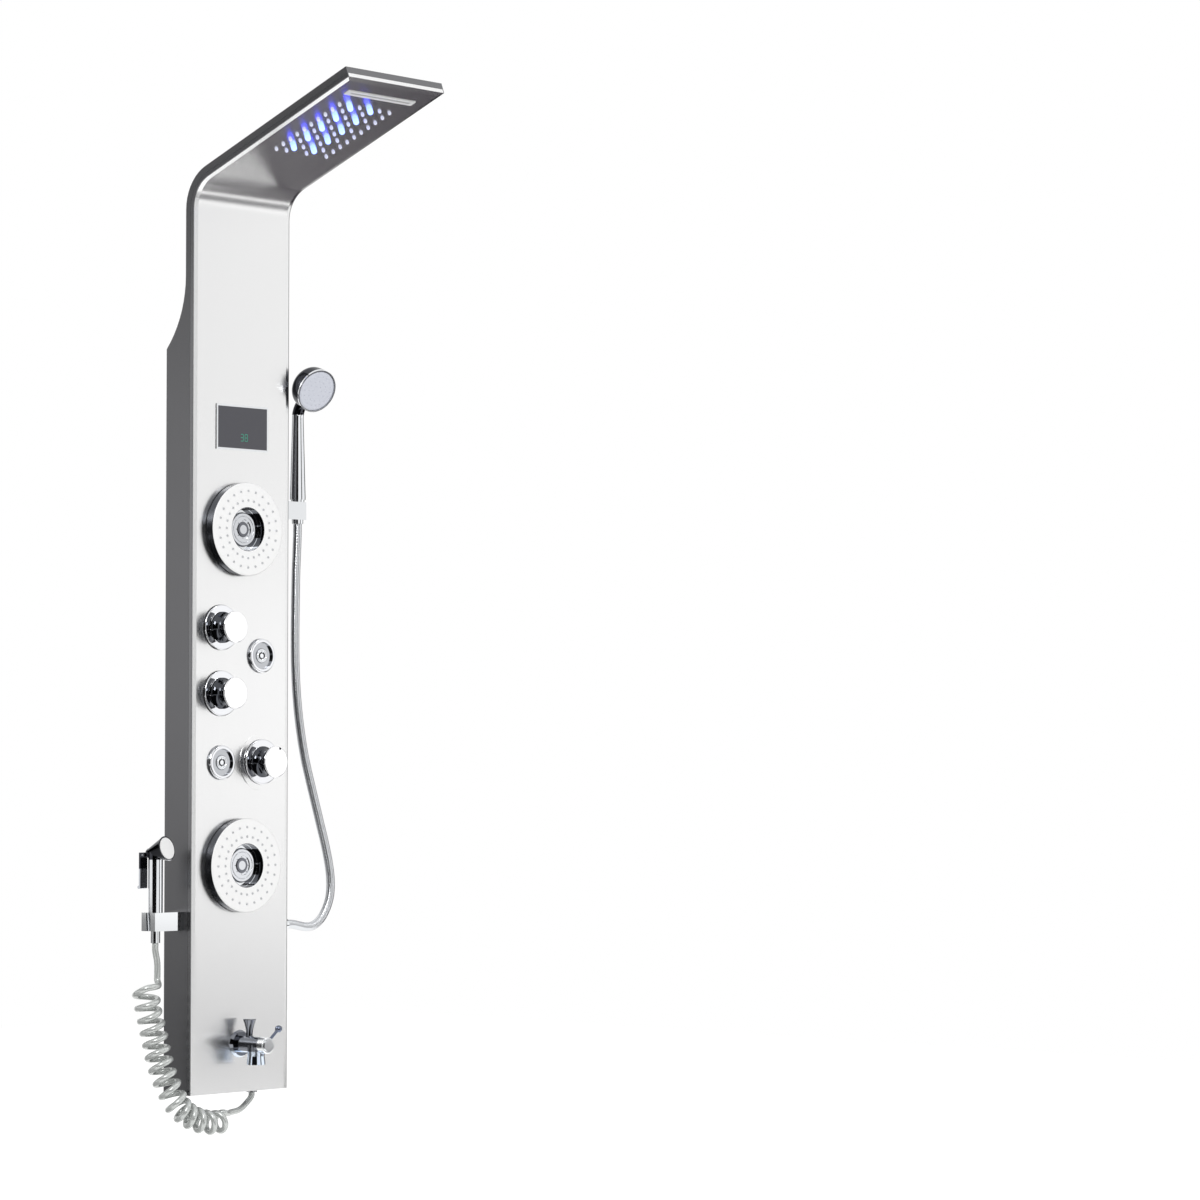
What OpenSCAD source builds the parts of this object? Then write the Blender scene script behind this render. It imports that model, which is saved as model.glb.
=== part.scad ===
// Wall-hung shower panel column with rain head, body jets, hand shower, bidet sprayer and tub spout
// Millimetres. Heights named _up are measured from the foot of the column.
// X runs across the column, -Y out of the wall and +Z up.

/* [Column] */
// Width of the column
panel_w = 200; // [196:1:212]
// Depth of the column from the wall to its front face
panel_depth = 62; // [60:0.5:70]
// Height of the deep part that holds the valves
deep_up = 1140; // [1125:1:1160]
// Height where the back has drawn in to the thin neck
neck_up = 1250; // [1240:1:1275]
// Thickness of the neck, the bend and the rain arm
neck_depth = 18.5; // [18:0.5:21]
// Height where the neck starts to bend forward
bend_up = 1352; // [1345:1:1400]
// Radius of the front face in the bend
bend_r = 48; // [44:1:60]
// Rise of the rain arm for each millimetre along it
arm_rise_share = 0.352; // [0.2:0.001:0.45]
// Length of the straight rain arm
arm_len = 330; // [326:1:350]
// Thickness of the folded sheet
sheet = 1.2; // [1:0.1:1.5]
// Width of the bevel along the edges of the front skin
bevel_w = 8; // [6:0.5:10]
// Depth of that bevel
bevel_d = 2; // [1:0.25:3]
// Depth of the folded edge of the front skin
fold_d = 8; // [6:0.5:9]
// Width of the folded flange along the open back
flange_w = 16; // [12:1:20]

/* [Display] */
// Width of the display bezel
display_w = 107; // [90:1:120]
// Height of the display bezel
display_h = 70; // [60:1:80]
// Height of the middle of the display
display_up = 1021; // [1010:1:1030]
// Width of the bezel's rim round the glass
bezel_rim = 3; // [2:0.5:5]
// How far the bezel stands out
bezel_proud = 1.6; // [1:0.2:3]
// Depth of the display's rear box
module_depth = 17; // [12:1:18]

/* [Large jets] */
// Height of the upper large jet
upper_jet_up = 864; // [855:1:872]
// Height of the lower large jet
lower_jet_up = 347; // [335:1:360]
// Radius of a large jet's disc
jet_r = 72; // [68:1:76]
// How far the disc stands out
jet_proud = 15; // [12:0.5:18]
// Radius of the recess round the ball nozzle
recess_r = 33.5; // [31:0.5:36]
// Radius of the ball nozzle
jet_ball_r = 28.5; // [26:0.5:29]
// Radius of the ring of outer nozzles
outer_ring_r = 59; // [56:0.5:64]
// Radius of the ring of inner nozzles
inner_ring_r = 44.5; // [42:0.5:50]

/* [Side jets] */
// Height of the upper side jet
upper_side_up = 670; // [664:1:676]
// Height of the lower side jet
lower_side_up = 505; // [498:1:512]
// Sideways place of the side jets from the middle
side_jet_x = 41; // [38:0.5:44]
// Radius of a side jet's disc
side_jet_r = 26.4; // [25:0.2:28]
// How far a side jet stands out
side_jet_proud = 5; // [4:0.5:7]
// Radius of a side jet's ball
side_ball_r = 12; // [11:0.5:13]

/* [Knobs] */
// Height of the upper diverter knob
upper_knob_up = 712; // [706:1:718]
// Height of the lower diverter knob
lower_knob_up = 611; // [606:1:618]
// Height of the mixer knob
mixer_up = 506; // [500:1:512]
// Sideways place of the knobs from the middle
knob_x = 42; // [40:0.5:44]
// Radius of the domed flange behind a knob
knob_flange_r = 35; // [33:0.5:37]
// Radius of a knob's front
knob_front_r = 24; // [22:0.5:27]
// Radius of a knob's waist
knob_waist_r = 17; // [15:0.5:19]
// How far a knob's front stands out from the column
knob_proud = 35; // [33:1:46]
// Radius of the thin plate behind the mixer
escutcheon_r = 44; // [42:0.5:48]

/* [Rain head] */
// Distance from the bend to the first row of nozzles
rain_start = 108; // [100:1:112]
// Spacing of the rows along the arm
row_pitch = 16.4; // [15:0.1:17]
// Spacing of the columns of nozzles across the arm
column_pitch = 20.8; // [19:0.1:22]
// Radius of a rain nozzle
rain_nozzle_r = 2.6; // [2:0.1:3]
// Radius of a lamp lens
lens_r = 4.4; // [4:0.2:6.4]
// How far a lamp lens stands out
lens_proud = 9; // [6:0.5:12]
// Length of the waterfall mouth across the arm
fall_w = 139; // [130:1:150]
// Width of the waterfall mouth along the arm
fall_h = 12; // [10:0.5:14]
// Distance from the bend to the middle of the waterfall mouth
fall_at = 291; // [288:1:298]

/* [Hand shower] */
// Height of the middle of the hand shower's holder
holder_up = 900; // [890:1:910]
// Length of the hand shower's holder out from the side of the column
holder_len = 50; // [46:1:54]
// Thickness of that holder, front to back
holder_depth = 26; // [25:0.5:30]
// Height of a holder
holder_h = 28; // [24:1:32]
// Distance of the hand shower's axis from the side of the column
handset_out = 43; // [34:0.5:44]
// Distance of the hand shower's axis behind the front face
handset_back = 27.5; // [26:0.5:36]
// Radius of the handle at its foot
handle_r = 12.8; // [12.6:0.1:16]
// Radius of the handle at its neck
neck_r = 9.3; // [9:0.1:12]
// Length of the straight handle above the holder
handle_len = 128; // [120:1:132]
// Tilt of the spray face below the level
head_tilt = 24.5; // [20:0.5:28]
// Radius of the spray head
head_r = 34; // [32:0.5:35]
// Depth of the spray head
head_depth = 39; // [36:0.5:42]

/* [Bidet sprayer] */
// Height of the middle of the sprayer's holder
sprayer_up = 264; // [256:1:272]
// Length of the sprayer's holder out from the side of the column
sprayer_holder_len = 58; // [54:1:60]
// Thickness of that holder, front to back
sprayer_holder_depth = 31; // [28:0.5:33]
// Distance of the sprayer's axis from the side of the column
sprayer_out = 43.8; // [42:0.2:45]
// Distance of the sprayer's axis behind the front face
sprayer_back = 32; // [31:0.5:33]
// Radius of the sprayer's handle
sprayer_r = 11; // [10:0.25:11.5]
// Height of the spray head's middle above the holder's middle
sprayer_head_up = 106; // [100:1:112]
// Radius of the sprayer's head
sprayer_head_r = 19; // [17:0.5:20]
// Turn of the sprayer in its holder
sprayer_turn = 12; // [5:1:20]

/* [Tub spout] */
// Height of the spout's axis
spout_up = 74; // [68:1:84]
// Length of the spout's body
spout_len = 51; // [50.5:0.5:80]
// Radius of the spout's body
spout_r = 12; // [11:0.5:14]
// Distance from the front face to the spout's mouth
mouth_out = 37; // [36:0.5:37.5]
// Length of the lever from the hub to its ball
lever_len = 36; // [28:1:40]

/* [Hidden] */
$fn = 48;

// Colours of the finishes
steel = [0.86, 0.86, 0.86];
dark_steel = [0.36, 0.36, 0.37];
chrome = [0.93, 0.94, 0.95];
white_chrome = [0.97, 0.97, 0.97];
zinc = [0.68, 0.69, 0.7];
brass = [0.76, 0.62, 0.34];
black = [0.1, 0.1, 0.11];
white = [0.95, 0.95, 0.95];
pale_grey = [0.78, 0.79, 0.8];
lamp_blue = [0.62, 0.75, 1];
board_green = [0.12, 0.35, 0.2];

// One overrun serves every cut, and the gaps are shared
over = 1;
seam = 0.3;
run_gap = 0.3;
shaft_gap = 0.05;
slip = 0.2;

// Wall fixing
upper_hole_up = 1060;
lower_hole_up = 180;
origin_up = (upper_hole_up + lower_hole_up) / 2;
wall_hole_r = 3.2;
wall_hole_x = 60;
bracket_w = 160;
bracket_h = 44;
bracket_t = 2;
hook_reach = 9;
hook_lift = 12;
rail_t = 1.6;
rail_web_h = 34;
rail_front = 21;

// Bend and arm
front_y = -panel_depth;
bend_y = front_y - bend_r;
arm_turn = acos(arm_rise_share);
back_drop = panel_depth - neck_depth;
curve_h = neck_up - deep_up;
curve_r = (back_drop * back_drop + curve_h * curve_h) / (2 * back_drop);
inner_w = panel_w - 2 * sheet;

// Plumbing plane and pipe sizes
pipe_back = 32;
pipe_y = front_y + pipe_back;
pipe_r = 6;
branch_r = 5;
elbow_wall = 1;
stub_r = 7.5;
riser_x = 90;
down_x = -80;
neck_pipe_back = 9;
neck_pipe_y = front_y + neck_pipe_back;
low_run_up = 32;
down_start_up = 560;

// Jet bodies
jet_lip = 2.5;
jet_mouth = 1;
jet_ball_back = 10;
jet_wall = 6;
jet_body_back = 42;
jet_stub_reach = 44;
side_ball_back = 3.5;
side_wall = 4;
side_stub_reach = 22;
side_recess_share = 0.8;
nozzle_seat = 2;
jet_nozzle_r = 2;
jet_nozzle_tip = 1.3;
jet_nozzle_hole_r = 0.6;
ring_count = 24;
nut_t = 6;
nut_wall = 7;
groove_r = 0.7;
spray_hole_r = 0.8;

// Knobs and valves
flange_t = 3.5;
escutcheon_t = 1.2;
knob_rear = 6;
knob_rim = 3.5;
knob_edge_r = 1.5;
spindle_r = 4;
spindle_reach = 24;
spindle_root = 12;
valve_r = 17;
valve_depth = 44;
mixer_depth = 40;
valve_stub = 27;
collar_r = 12;
mixer_r = 20;
mixer_stub = 34;
inlet_spacing = 60;
inlet_r = 10.48;
inlet_len = 15;
inlet_end_y = -6;
inlet_boss_r = 12;
inlet_relief = 1;
inlet_relief_r = 9.4;
hex_af = 26;
hex_t = 5;

// Rain head
rain_rows = 10;
rain_columns = 6;
nozzle_proud = 3.2;
nozzle_bore_r = 0.9;
nozzle_collar_r = 4;
lens_flange_r = 7.5;
board_front = 3.2;
board_t = 1.6;
chamber_t = 9;
chamber_margin = 13;
fall_flange = 2.2;
fall_lip = 1;
fall_slit = 3;
fall_slit_inset = 6;
fall_depth = 14;
duct_w = 16;

// Generator in the rain riser
gen_up = 935;
gen_r = 18;
gen_h = 40;
gen_wall = 3;
gen_stub = 8;
gen_shaft_r = 2;
gen_blades = 8;
gen_blade_t = 1.6;

// Hand shower
neck_bend_r = 30;
neck_rise_share = 0.6;
neck_bend = acos(neck_rise_share);
neck_tail = 14;
head_wall_h = 15;
head_shoulder_r = 14;
head_reach = 49;
head_rise = 186.5;
ring_h = 9;
ring_t = 1.6;
face_t = 3;
face_proud = 1.2;
tab_w = 9;
tab_reach = 4;
handset_yaw = -6;
cone_top_r = 11;
cone_foot_r = 9;
cone_below = 6;
handle_gap = 4;
collar_h = 5;
lug_r = 3;

// Hoses
shower_hose_d = 14;
hose_bore_r = 4.5;
rib_count = 150;
rib_depth = 0.9;
bore_rings = 60;
outlet_up = 252;
outlet_x = 126;
hose_nut_len = 14;
hose_nut_r = 10;
coil_hose_d = 9.5;
coil_out_x = 54;
coil_out_drop = 5;
coil_nut_r = 8.5;
outlet_flange_r = 16;
outlet_flange_t = 4;

// Sprayer
sprayer_cone_foot_r = 8;
sprayer_nut_r = 7.3;
sprayer_nut_len = 18;
spray_axis_rise = 14;
spray_face_out = 21.5;
spray_back = 10;
spray_back_r = 8;
spray_rim = 2.4;
trigger_w = 18;
trigger_t = 2.6;
trigger_foot_up = 52;
trigger_pivot_back = 18.4;
trigger_pivot_up = 101;
ear_r = 3.6;
ear_t = 2.5;
pin_r = 1.6;
boss_w = trigger_w - 2 * ear_t - 2 * run_gap;

// Spout
spout_flange_r = 21;
spout_flange_t = 5;
mouth_r = 13;
mouth_drop = 17;
aerator_r = 14.5;
aerator_h = 13;
aerator_wall = 2;
pull_out = 22;
pull_stem_r = 3;
pull_top_r = 9.8;
pull_waist_r = 5;
pull_h = 24;
pull_lift = 1;
hub_r = 12.5;
hub_t = 13;
hub_cap_r = 9;
lever_rod_r = 2.3;
lever_ball_r = 5.6;
lever_lean = 49;
spout_tail_back = 40;

// Unit directions and small helpers
function unit(v) = v / norm(v);
function last(list) = list[len(list) - 1];

// Point on a smooth curve between b and c
function curve_at(a, b, c, d, t) =
    0.5 * (2 * b + (c - a) * t + (2 * a - 5 * b + 4 * c - d) * t * t + (3 * b - a - 3 * c + d) * t * t * t);

// Smooth curve through every knot, with the given number of steps between each pair
function smooth(knots, steps) = concat(
    [for (i = [0:len(knots) - 2], k = [0:steps - 1])
        curve_at(knots[max(i - 1, 0)], knots[i], knots[i + 1], knots[min(i + 2, len(knots) - 1)], k / steps)],
    [last(knots)]);

// Distance run along a line of points, one value a point
function runs(line) =
    [for (i = 0, s = 0; i < len(line);
        s = s + (i < len(line) - 1 ? norm(line[i + 1] - line[i]) : 0), i = i + 1) s];

function place_at(line, run, s) =
    [for (a = [0:2]) lookup(s, [for (i = [0:len(line) - 1]) [run[i], line[i][a]]])];

// The same line with points at even distances
function even(line, count) = let (run = runs(line))
    [for (i = [0:count]) place_at(line, run, last(run) * i / count)];

function heading(line, i) = unit(line[min(i + 1, len(line) - 1)] - line[max(i - 1, 0)]);

// A sideways direction at each point that never twists
function sides_of(line, first) =
    [for (i = 0, n = first; i < len(line); i = i + 1,
        n = i < len(line) ? unit(n - (n * heading(line, i)) * heading(line, i)) : n) n];

function rings(line, radii, count, first) = let (side = sides_of(line, first))
    [for (i = [0:len(line) - 1], k = [0:count - 1])
        let (n = side[i], b = cross(heading(line, i), n), a = 360 * k / count)
        line[i] + radii[i] * (cos(a) * n + sin(a) * b)];

function skin(first, ring_total, count, flip) =
    [for (i = [0:ring_total - 2], k = [0:count - 1], half = [0, 1])
        let (a = first + i * count + k, b = first + i * count + (k + 1) % count, c = a + count, d = b + count,
            f = half == 0 ? [a, c, b] : [b, c, d])
        flip ? [f[2], f[1], f[0]] : f];

function cap(first, count, flip) =
    [for (k = [1:count - 2]) flip ? [first, first + k + 1, first + k] : [first, first + k, first + k + 1]];

function annulus(outer, inner, count, flip) =
    [for (k = [0:count - 1], half = [0, 1])
        let (n = (k + 1) % count,
            f = half == 0 ? [outer + k, outer + n, inner + k] : [outer + n, inner + n, inner + k])
        flip ? [f[2], f[1], f[0]] : f];

// Nearest approach of a coiled line to itself, less the thickness of the hose
function least_gap(line, d, apart) =
    min([for (i = [0:len(line) - 1 - apart], j = [i + apart:len(line) - 1]) norm(line[i] - line[j])]) - d;

module tube(line, radii, count, first) {
    total = len(line);
    polyhedron(
        points = rings(line, radii, count, first),
        faces = concat(skin(0, total, count, false), cap(0, count, false), cap((total - 1) * count, count, true))
    );
}

module bored_tube(line, radii, bore_line, bore_r, count, first) {
    outer_total = len(line);
    inner_total = len(bore_line);
    inner_first = outer_total * count;
    polyhedron(
        points = concat(
            rings(line, radii, count, first),
            rings(bore_line, [for (i = [1:inner_total]) bore_r], count, first)),
        faces = concat(
            skin(0, outer_total, count, false),
            skin(inner_first, inner_total, count, true),
            annulus(0, inner_first, count, false),
            annulus((outer_total - 1) * count, inner_first + (inner_total - 1) * count, count, true))
    );
}

// Frames: on the foot, on the front face with Z outwards, and on the underside of the arm
module from_foot() {
    translate([0, 0, -origin_up]) children();
}

module on_front(x, up) {
    from_foot() translate([x, front_y, up]) rotate([90, 0, 0]) children();
}

module along_arm() {
    from_foot() translate([0, bend_y, bend_up]) rotate([arm_turn, 0, 0]) translate([0, -bend_y, -bend_up]) children();
}

module under_arm(x, along) {
    along_arm() translate([x, front_y, bend_up + along]) rotate([90, 0, 0]) children();
}

// Extrudes a side view, drawn as distance from the wall and height, across the column
module across(width) {
    rotate([90, 0, 90]) translate([0, 0, -width / 2]) linear_extrude(width) children();
}

// Round bar from one point to another, and a run of them with round corners
module bar(from, to, r) {
    d = to - from;
    translate(from) rotate([0, acos(d[2] / norm(d)), atan2(d[1], d[0])]) cylinder(h = norm(d), r = r);
}

module pipe(points, r) {
    for (i = [0:len(points) - 2]) bar(points[i], points[i + 1], r);
    for (i = [1:1:len(points) - 2]) translate(points[i]) sphere(r + elbow_wall);
}

// Front skin
// Cross-section of the folded front skin, inset by the sheet for its inside
module fascia_section(inset, depth) {
    w = panel_w - 2 * inset;
    polygon([
        [-w / 2, depth], [-w / 2, bevel_d + inset], [-w / 2 + bevel_w, inset],
        [w / 2 - bevel_w, inset], [w / 2, bevel_d + inset], [w / 2, depth]
    ]);
}

// Quarter turn of a section about the axis of the bend, cut off square where the arm begins
module through_bend() {
    difference() {
        from_foot() translate([0, bend_y, bend_up]) rotate([90, 0, 90]) rotate_extrude(angle = 90) children();
        along_arm() translate([-panel_w, bend_y, bend_up]) cube([2 * panel_w, 2 * bend_r, 2 * bend_r]);
    }
}

module fascia_bend(inset, depth) {
    through_bend() polygon([
        [bend_r + depth, -panel_w / 2 + inset], [bend_r + bevel_d + inset, -panel_w / 2 + inset],
        [bend_r + inset, -panel_w / 2 + inset + bevel_w], [bend_r + inset, panel_w / 2 - inset - bevel_w],
        [bend_r + bevel_d + inset, panel_w / 2 - inset], [bend_r + depth, panel_w / 2 - inset]
    ]);
}

module fascia_upright(inset, depth) {
    translate([0, front_y, -inset * over]) linear_extrude(bend_up + inset * over) fascia_section(inset, depth);
}

module fascia_arm(inset, depth) {
    reach = arm_len - inset;
    difference() {
        translate([0, front_y, bend_up]) linear_extrude(reach) fascia_section(inset, depth);
        translate([0, front_y + inset, bend_up + reach]) rotate([90, 0, 90])
            translate([0, 0, -panel_w / 2]) linear_extrude(panel_w)
                polygon([[-over, -bevel_w], [0, -bevel_w], [bevel_d, 0], [bevel_d, over], [-over, over]]);
    }
}

module fascia_body(inset, depth) {
    from_foot() fascia_upright(inset, depth);
    fascia_bend(inset, depth);
    along_arm() fascia_arm(inset, depth);
}

// Places on the rain head: 0 bare, 1 nozzle, 2 lamp
function rain_kind(row, column) =
    column == 0 || column == rain_columns - 1 ? 1
    : column % 2 == 1 ? (row % 2 == 0 ? 1 : 2)
    : row % 2 == 1 ? 1 : 0;

module at_rain_places(kind) {
    for (row = [0:rain_rows - 1], column = [0:rain_columns - 1])
        if (rain_kind(row, column) == kind)
            under_arm((column - (rain_columns - 1) / 2) * column_pitch, rain_start + row * row_pitch) children();
}

module fascia() {
    hole = sheet + 2 * over;
    color(steel) difference() {
        fascia_body(0, fold_d);
        fascia_body(sheet, fold_d + over);
        on_front(0, display_up) translate([0, 0, -sheet - over])
            linear_extrude(hole) square([display_w - 2 * bezel_rim, display_h - 2 * bezel_rim], center = true);
        for (up = [upper_jet_up, lower_jet_up])
            on_front(0, up) translate([0, 0, -sheet - over]) cylinder(h = hole, r = jet_ball_r + jet_wall + slip);
        for (place = [[side_jet_x, upper_side_up], [-side_jet_x, lower_side_up]])
            on_front(place[0], place[1]) translate([0, 0, -sheet - over])
                cylinder(h = hole, r = side_ball_r + side_wall + slip);
        for (place = [[-knob_x, upper_knob_up], [-knob_x, lower_knob_up], [knob_x, mixer_up]])
            on_front(place[0], place[1]) translate([0, 0, -sheet - over]) cylinder(h = hole, r = collar_r + slip);
        on_front(0, spout_up) translate([0, 0, -sheet - over]) cylinder(h = hole, r = spout_r - 2 * sheet + slip);
        at_rain_places(1) translate([0, 0, -sheet - over]) cylinder(h = hole, r = rain_nozzle_r + slip);
        at_rain_places(2) translate([0, 0, -sheet - over]) cylinder(h = hole, r = lens_r + slip);
        under_arm(0, fall_at) translate([0, 0, -sheet - over])
            linear_extrude(hole) square([fall_w - 2 * fall_flange + 2 * slip, fall_h - 2 * fall_flange + 2 * slip], center = true);
    }
}

// Rear casing
// Side view of the casing behind the front skin up to the start of the bend
module casing_side() {
    difference() {
        translate([front_y + fold_d + seam, 0]) square([panel_depth - fold_d - seam, neck_up]);
        translate([-back_drop + curve_r, neck_up]) circle(curve_r, $fn = 180);
    }
    translate([front_y + fold_d + seam, neck_up - over]) square([neck_depth - fold_d - seam, bend_up - neck_up + over]);
}

module casing_curve_skin() {
    intersection() {
        difference() {
            translate([-back_drop + curve_r, neck_up]) circle(curve_r + sheet, $fn = 180);
            translate([-back_drop + curve_r, neck_up]) circle(curve_r, $fn = 180);
        }
        translate([-back_drop - 2 * sheet, deep_up]) square([back_drop + 2 * sheet, curve_h]);
    }
}

// Cross-section of the casing along the bend and arm, from the axis of the bend
module casing_bend_section() {
    difference() {
        translate([bend_r + fold_d + seam, -panel_w / 2]) square([neck_depth - fold_d - seam, panel_w]);
        translate([bend_r + fold_d + seam - over, -inner_w / 2])
            square([neck_depth - fold_d - seam + over - sheet, inner_w]);
    }
}

module casing_arm() {
    t = neck_depth - fold_d - seam;
    translate([0, front_y + fold_d + seam, bend_up]) difference() {
        translate([-panel_w / 2, 0, 0]) cube([panel_w, t, arm_len]);
        translate([-inner_w / 2, -over, -over]) cube([inner_w, t + over - sheet, arm_len + over - sheet]);
    }
}

module rear_casing() {
    color(dark_steel) {
        from_foot() difference() {
            union() {
                difference() {
                    across(panel_w) casing_side();
                    translate([0, 0, -over]) across(inner_w) difference() {
                        translate([front_y, -over]) square([panel_depth + over, bend_up + 3 * over]);
                        translate([0, over]) casing_curve_skin();
                        translate([front_y + neck_depth - sheet, neck_up + over]) square([sheet, bend_up - neck_up + 2 * over]);
                    }
                }
                for (side = [-1, 1])
                    translate([side * (panel_w / 2 - flange_w / 2) - flange_w / 2, -sheet, 0])
                        cube([flange_w, sheet, deep_up]);
            }
            translate([panel_w / 2 - sheet - over, pipe_y, outlet_up]) rotate([0, 90, 0])
                cylinder(h = sheet + 2 * over, r = hose_nut_r - sheet + slip);
        }
        through_bend() casing_bend_section();
        along_arm() casing_arm();
    }
}

module bottom_plate() {
    y_front = front_y + sheet + bevel_d + seam;
    color(dark_steel) from_foot() difference() {
        translate([-inner_w / 2 + seam, y_front, 0]) cube([inner_w - 2 * seam, -sheet - seam - y_front, flange_w]);
        translate([-inner_w / 2 + seam + sheet, y_front + sheet, sheet])
            cube([inner_w - 2 * seam - 2 * sheet, -3 * sheet - seam - y_front, flange_w]);
        translate([coil_out_x, pipe_y, -over]) cylinder(h = sheet + 2 * over, r = coil_nut_r - sheet + slip);
    }
}

// Wall bracket with an upturned hook, drawn about its screw holes
module wall_bracket() {
    top = bracket_h / 2;
    difference() {
        across(bracket_w) union() {
            translate([-bracket_t, -top]) square([bracket_t, bracket_h]);
            translate([-hook_reach, top - bracket_t]) square([hook_reach, bracket_t]);
            translate([-hook_reach, top - bracket_t]) square([bracket_t, hook_lift]);
        }
        for (side = [-1, 1])
            translate([side * wall_hole_x, over, 0]) rotate([90, 0, 0])
                cylinder(h = bracket_t + 2 * over, r = wall_hole_r);
    }
}

module wall_brackets() {
    color(zinc) for (up = [upper_hole_up, lower_hole_up]) from_foot() translate([0, 0, up]) wall_bracket();
}

// Rail across the casing that hangs on a bracket's hook
module hanging_rail() {
    top = bracket_h / 2 - bracket_t + hook_lift;
    lip_y = -hook_reach + bracket_t + run_gap;
    across(inner_w) union() {
        translate([-rail_front, top]) square([rail_front + lip_y + rail_t, rail_t]);
        translate([lip_y, top - hook_lift + bracket_t + run_gap]) square([rail_t, hook_lift - bracket_t]);
        translate([-rail_front, top - rail_web_h]) square([rail_t, rail_web_h]);
    }
}

module hanging_rails() {
    color(zinc) for (up = [upper_hole_up, lower_hole_up]) from_foot() translate([0, 0, up]) hanging_rail();
}

// Display
module display_bezel() {
    inner = [display_w - 4 * bezel_rim + 2 * slip, display_h - 4 * bezel_rim + 2 * slip];
    color(chrome) on_front(0, display_up) difference() {
        union() {
            linear_extrude(bezel_proud) square([display_w, display_h], center = true);
            translate([0, 0, -sheet - 2 * over])
                linear_extrude(sheet + 2 * over) square([display_w - 2 * bezel_rim - 2 * slip, display_h - 2 * bezel_rim - 2 * slip], center = true);
        }
        translate([0, 0, -sheet - 3 * over]) linear_extrude(bezel_proud + sheet + 4 * over) square(inner, center = true);
        translate([0, 0, bezel_proud / 2]) linear_extrude(bezel_proud)
            square([display_w - 2 * bezel_rim + 2 * slip, display_h - 2 * bezel_rim + 2 * slip], center = true);
    }
}

module display_glass() {
    color(black) on_front(0, display_up) translate([0, 0, bezel_proud / 2])
        linear_extrude(bezel_proud / 2) square([display_w - 2 * bezel_rim, display_h - 2 * bezel_rim], center = true);
}

module display_module() {
    w = display_w - 4 * bezel_rim;
    h = display_h - 4 * bezel_rim;
    color(black) on_front(0, display_up) {
        translate([0, 0, -module_depth / 2]) linear_extrude(module_depth / 2 + bezel_proud / 2) square([w, h], center = true);
        translate([0, 0, -module_depth]) linear_extrude(module_depth / 2)
            square([w - 4 * bezel_rim, h - 4 * bezel_rim], center = true);
    }
}

// Jets
// Body of a jet, with its spherical seat, its stub for the pipe and a collar behind the skin
module jet_body(disc_r, proud, recess, ball_r, ball_back, wall, stub, side) {
    body_r = ball_r + wall;
    difference() {
        union() {
            rotate_extrude($fn = 96) difference() {
                union() {
                    square([disc_r - jet_lip, proud]);
                    square([disc_r, proud - jet_lip]);
                    translate([disc_r - jet_lip, proud - jet_lip]) circle(jet_lip);
                }
                translate([-over, jet_mouth]) square([recess + over, proud]);
                translate([disc_r - jet_lip / 2, -over]) square([jet_lip, over + jet_lip]);
            }
            translate([0, 0, -jet_body_back]) cylinder(h = jet_body_back + over / 2, r = body_r);
            translate([0, 0, -pipe_back]) rotate([0, 90 * side, 0]) cylinder(h = stub, r = stub_r);
        }
        translate([0, 0, -ball_back]) sphere(ball_r + run_gap);
        translate([0, 0, -ball_back]) cylinder(h = proud, r = ball_r * 0.93);
        translate([0, 0, -pipe_back]) cylinder(h = pipe_back, r = pipe_r);
    }
}

module at_jet_nozzles() {
    for (ring_r = [outer_ring_r, inner_ring_r], k = [0:ring_count - 1])
        rotate([0, 0, 360 * k / ring_count]) translate([ring_r, 0, jet_proud]) children();
}

module large_jet_disc(side) {
    difference() {
        jet_body(jet_r, jet_proud, recess_r, jet_ball_r, jet_ball_back, jet_wall, jet_stub_reach, side);
        at_jet_nozzles() translate([0, 0, -nozzle_seat]) cylinder(h = nozzle_seat + over, r = jet_nozzle_r, $fn = 24);
    }
}

module jet_nozzle() {
    difference() {
        union() {
            translate([0, 0, -nozzle_seat]) cylinder(h = nozzle_seat, r = jet_nozzle_r, $fn = 24);
            cylinder(h = jet_nozzle_tip, r1 = jet_nozzle_r, r2 = jet_nozzle_r - jet_nozzle_hole_r, $fn = 24);
        }
        translate([0, 0, -nozzle_seat / 2]) cylinder(h = nozzle_seat + jet_nozzle_tip, r = jet_nozzle_hole_r, $fn = 24);
    }
}

// Ball nozzle, drawn about its own middle with its spray face forward
module ball_nozzle(r) {
    face = 0.5 * r;
    hub = 0.55 * r;
    difference() {
        sphere(r, $fn = 96);
        translate([0, 0, face]) cylinder(h = r, r = r);
        translate([0, 0, -0.7 * r - r]) cylinder(h = r, r = r);
        translate([0, 0, -r]) cylinder(h = r, r = 0.4 * r);
        translate([0, 0, face]) rotate_extrude() translate([0.72 * r, 0]) circle(groove_r);
        difference() {
            translate([0, 0, face - 2 * groove_r]) cylinder(h = r, r = hub);
            cylinder(h = r, r = 0.38 * r);
        }
        for (k = [0:7])
            rotate([0, 0, 45 * k]) translate([0.465 * r, 0, 0]) cylinder(h = r, r = spray_hole_r, $fn = 16);
    }
}

module upper_jet_disc() {
    color(white_chrome) on_front(0, upper_jet_up) large_jet_disc(1);
}

module lower_jet_disc() {
    color(white_chrome) on_front(0, lower_jet_up) large_jet_disc(-1);
}

module upper_jet_nozzles() {
    color(pale_grey) on_front(0, upper_jet_up) at_jet_nozzles() jet_nozzle();
}

module lower_jet_nozzles() {
    color(pale_grey) on_front(0, lower_jet_up) at_jet_nozzles() jet_nozzle();
}

module upper_jet_ball() {
    color(chrome) on_front(0, upper_jet_up) translate([0, 0, -jet_ball_back]) ball_nozzle(jet_ball_r);
}

module lower_jet_ball() {
    color(chrome) on_front(0, lower_jet_up) translate([0, 0, -jet_ball_back]) ball_nozzle(jet_ball_r);
}

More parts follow.
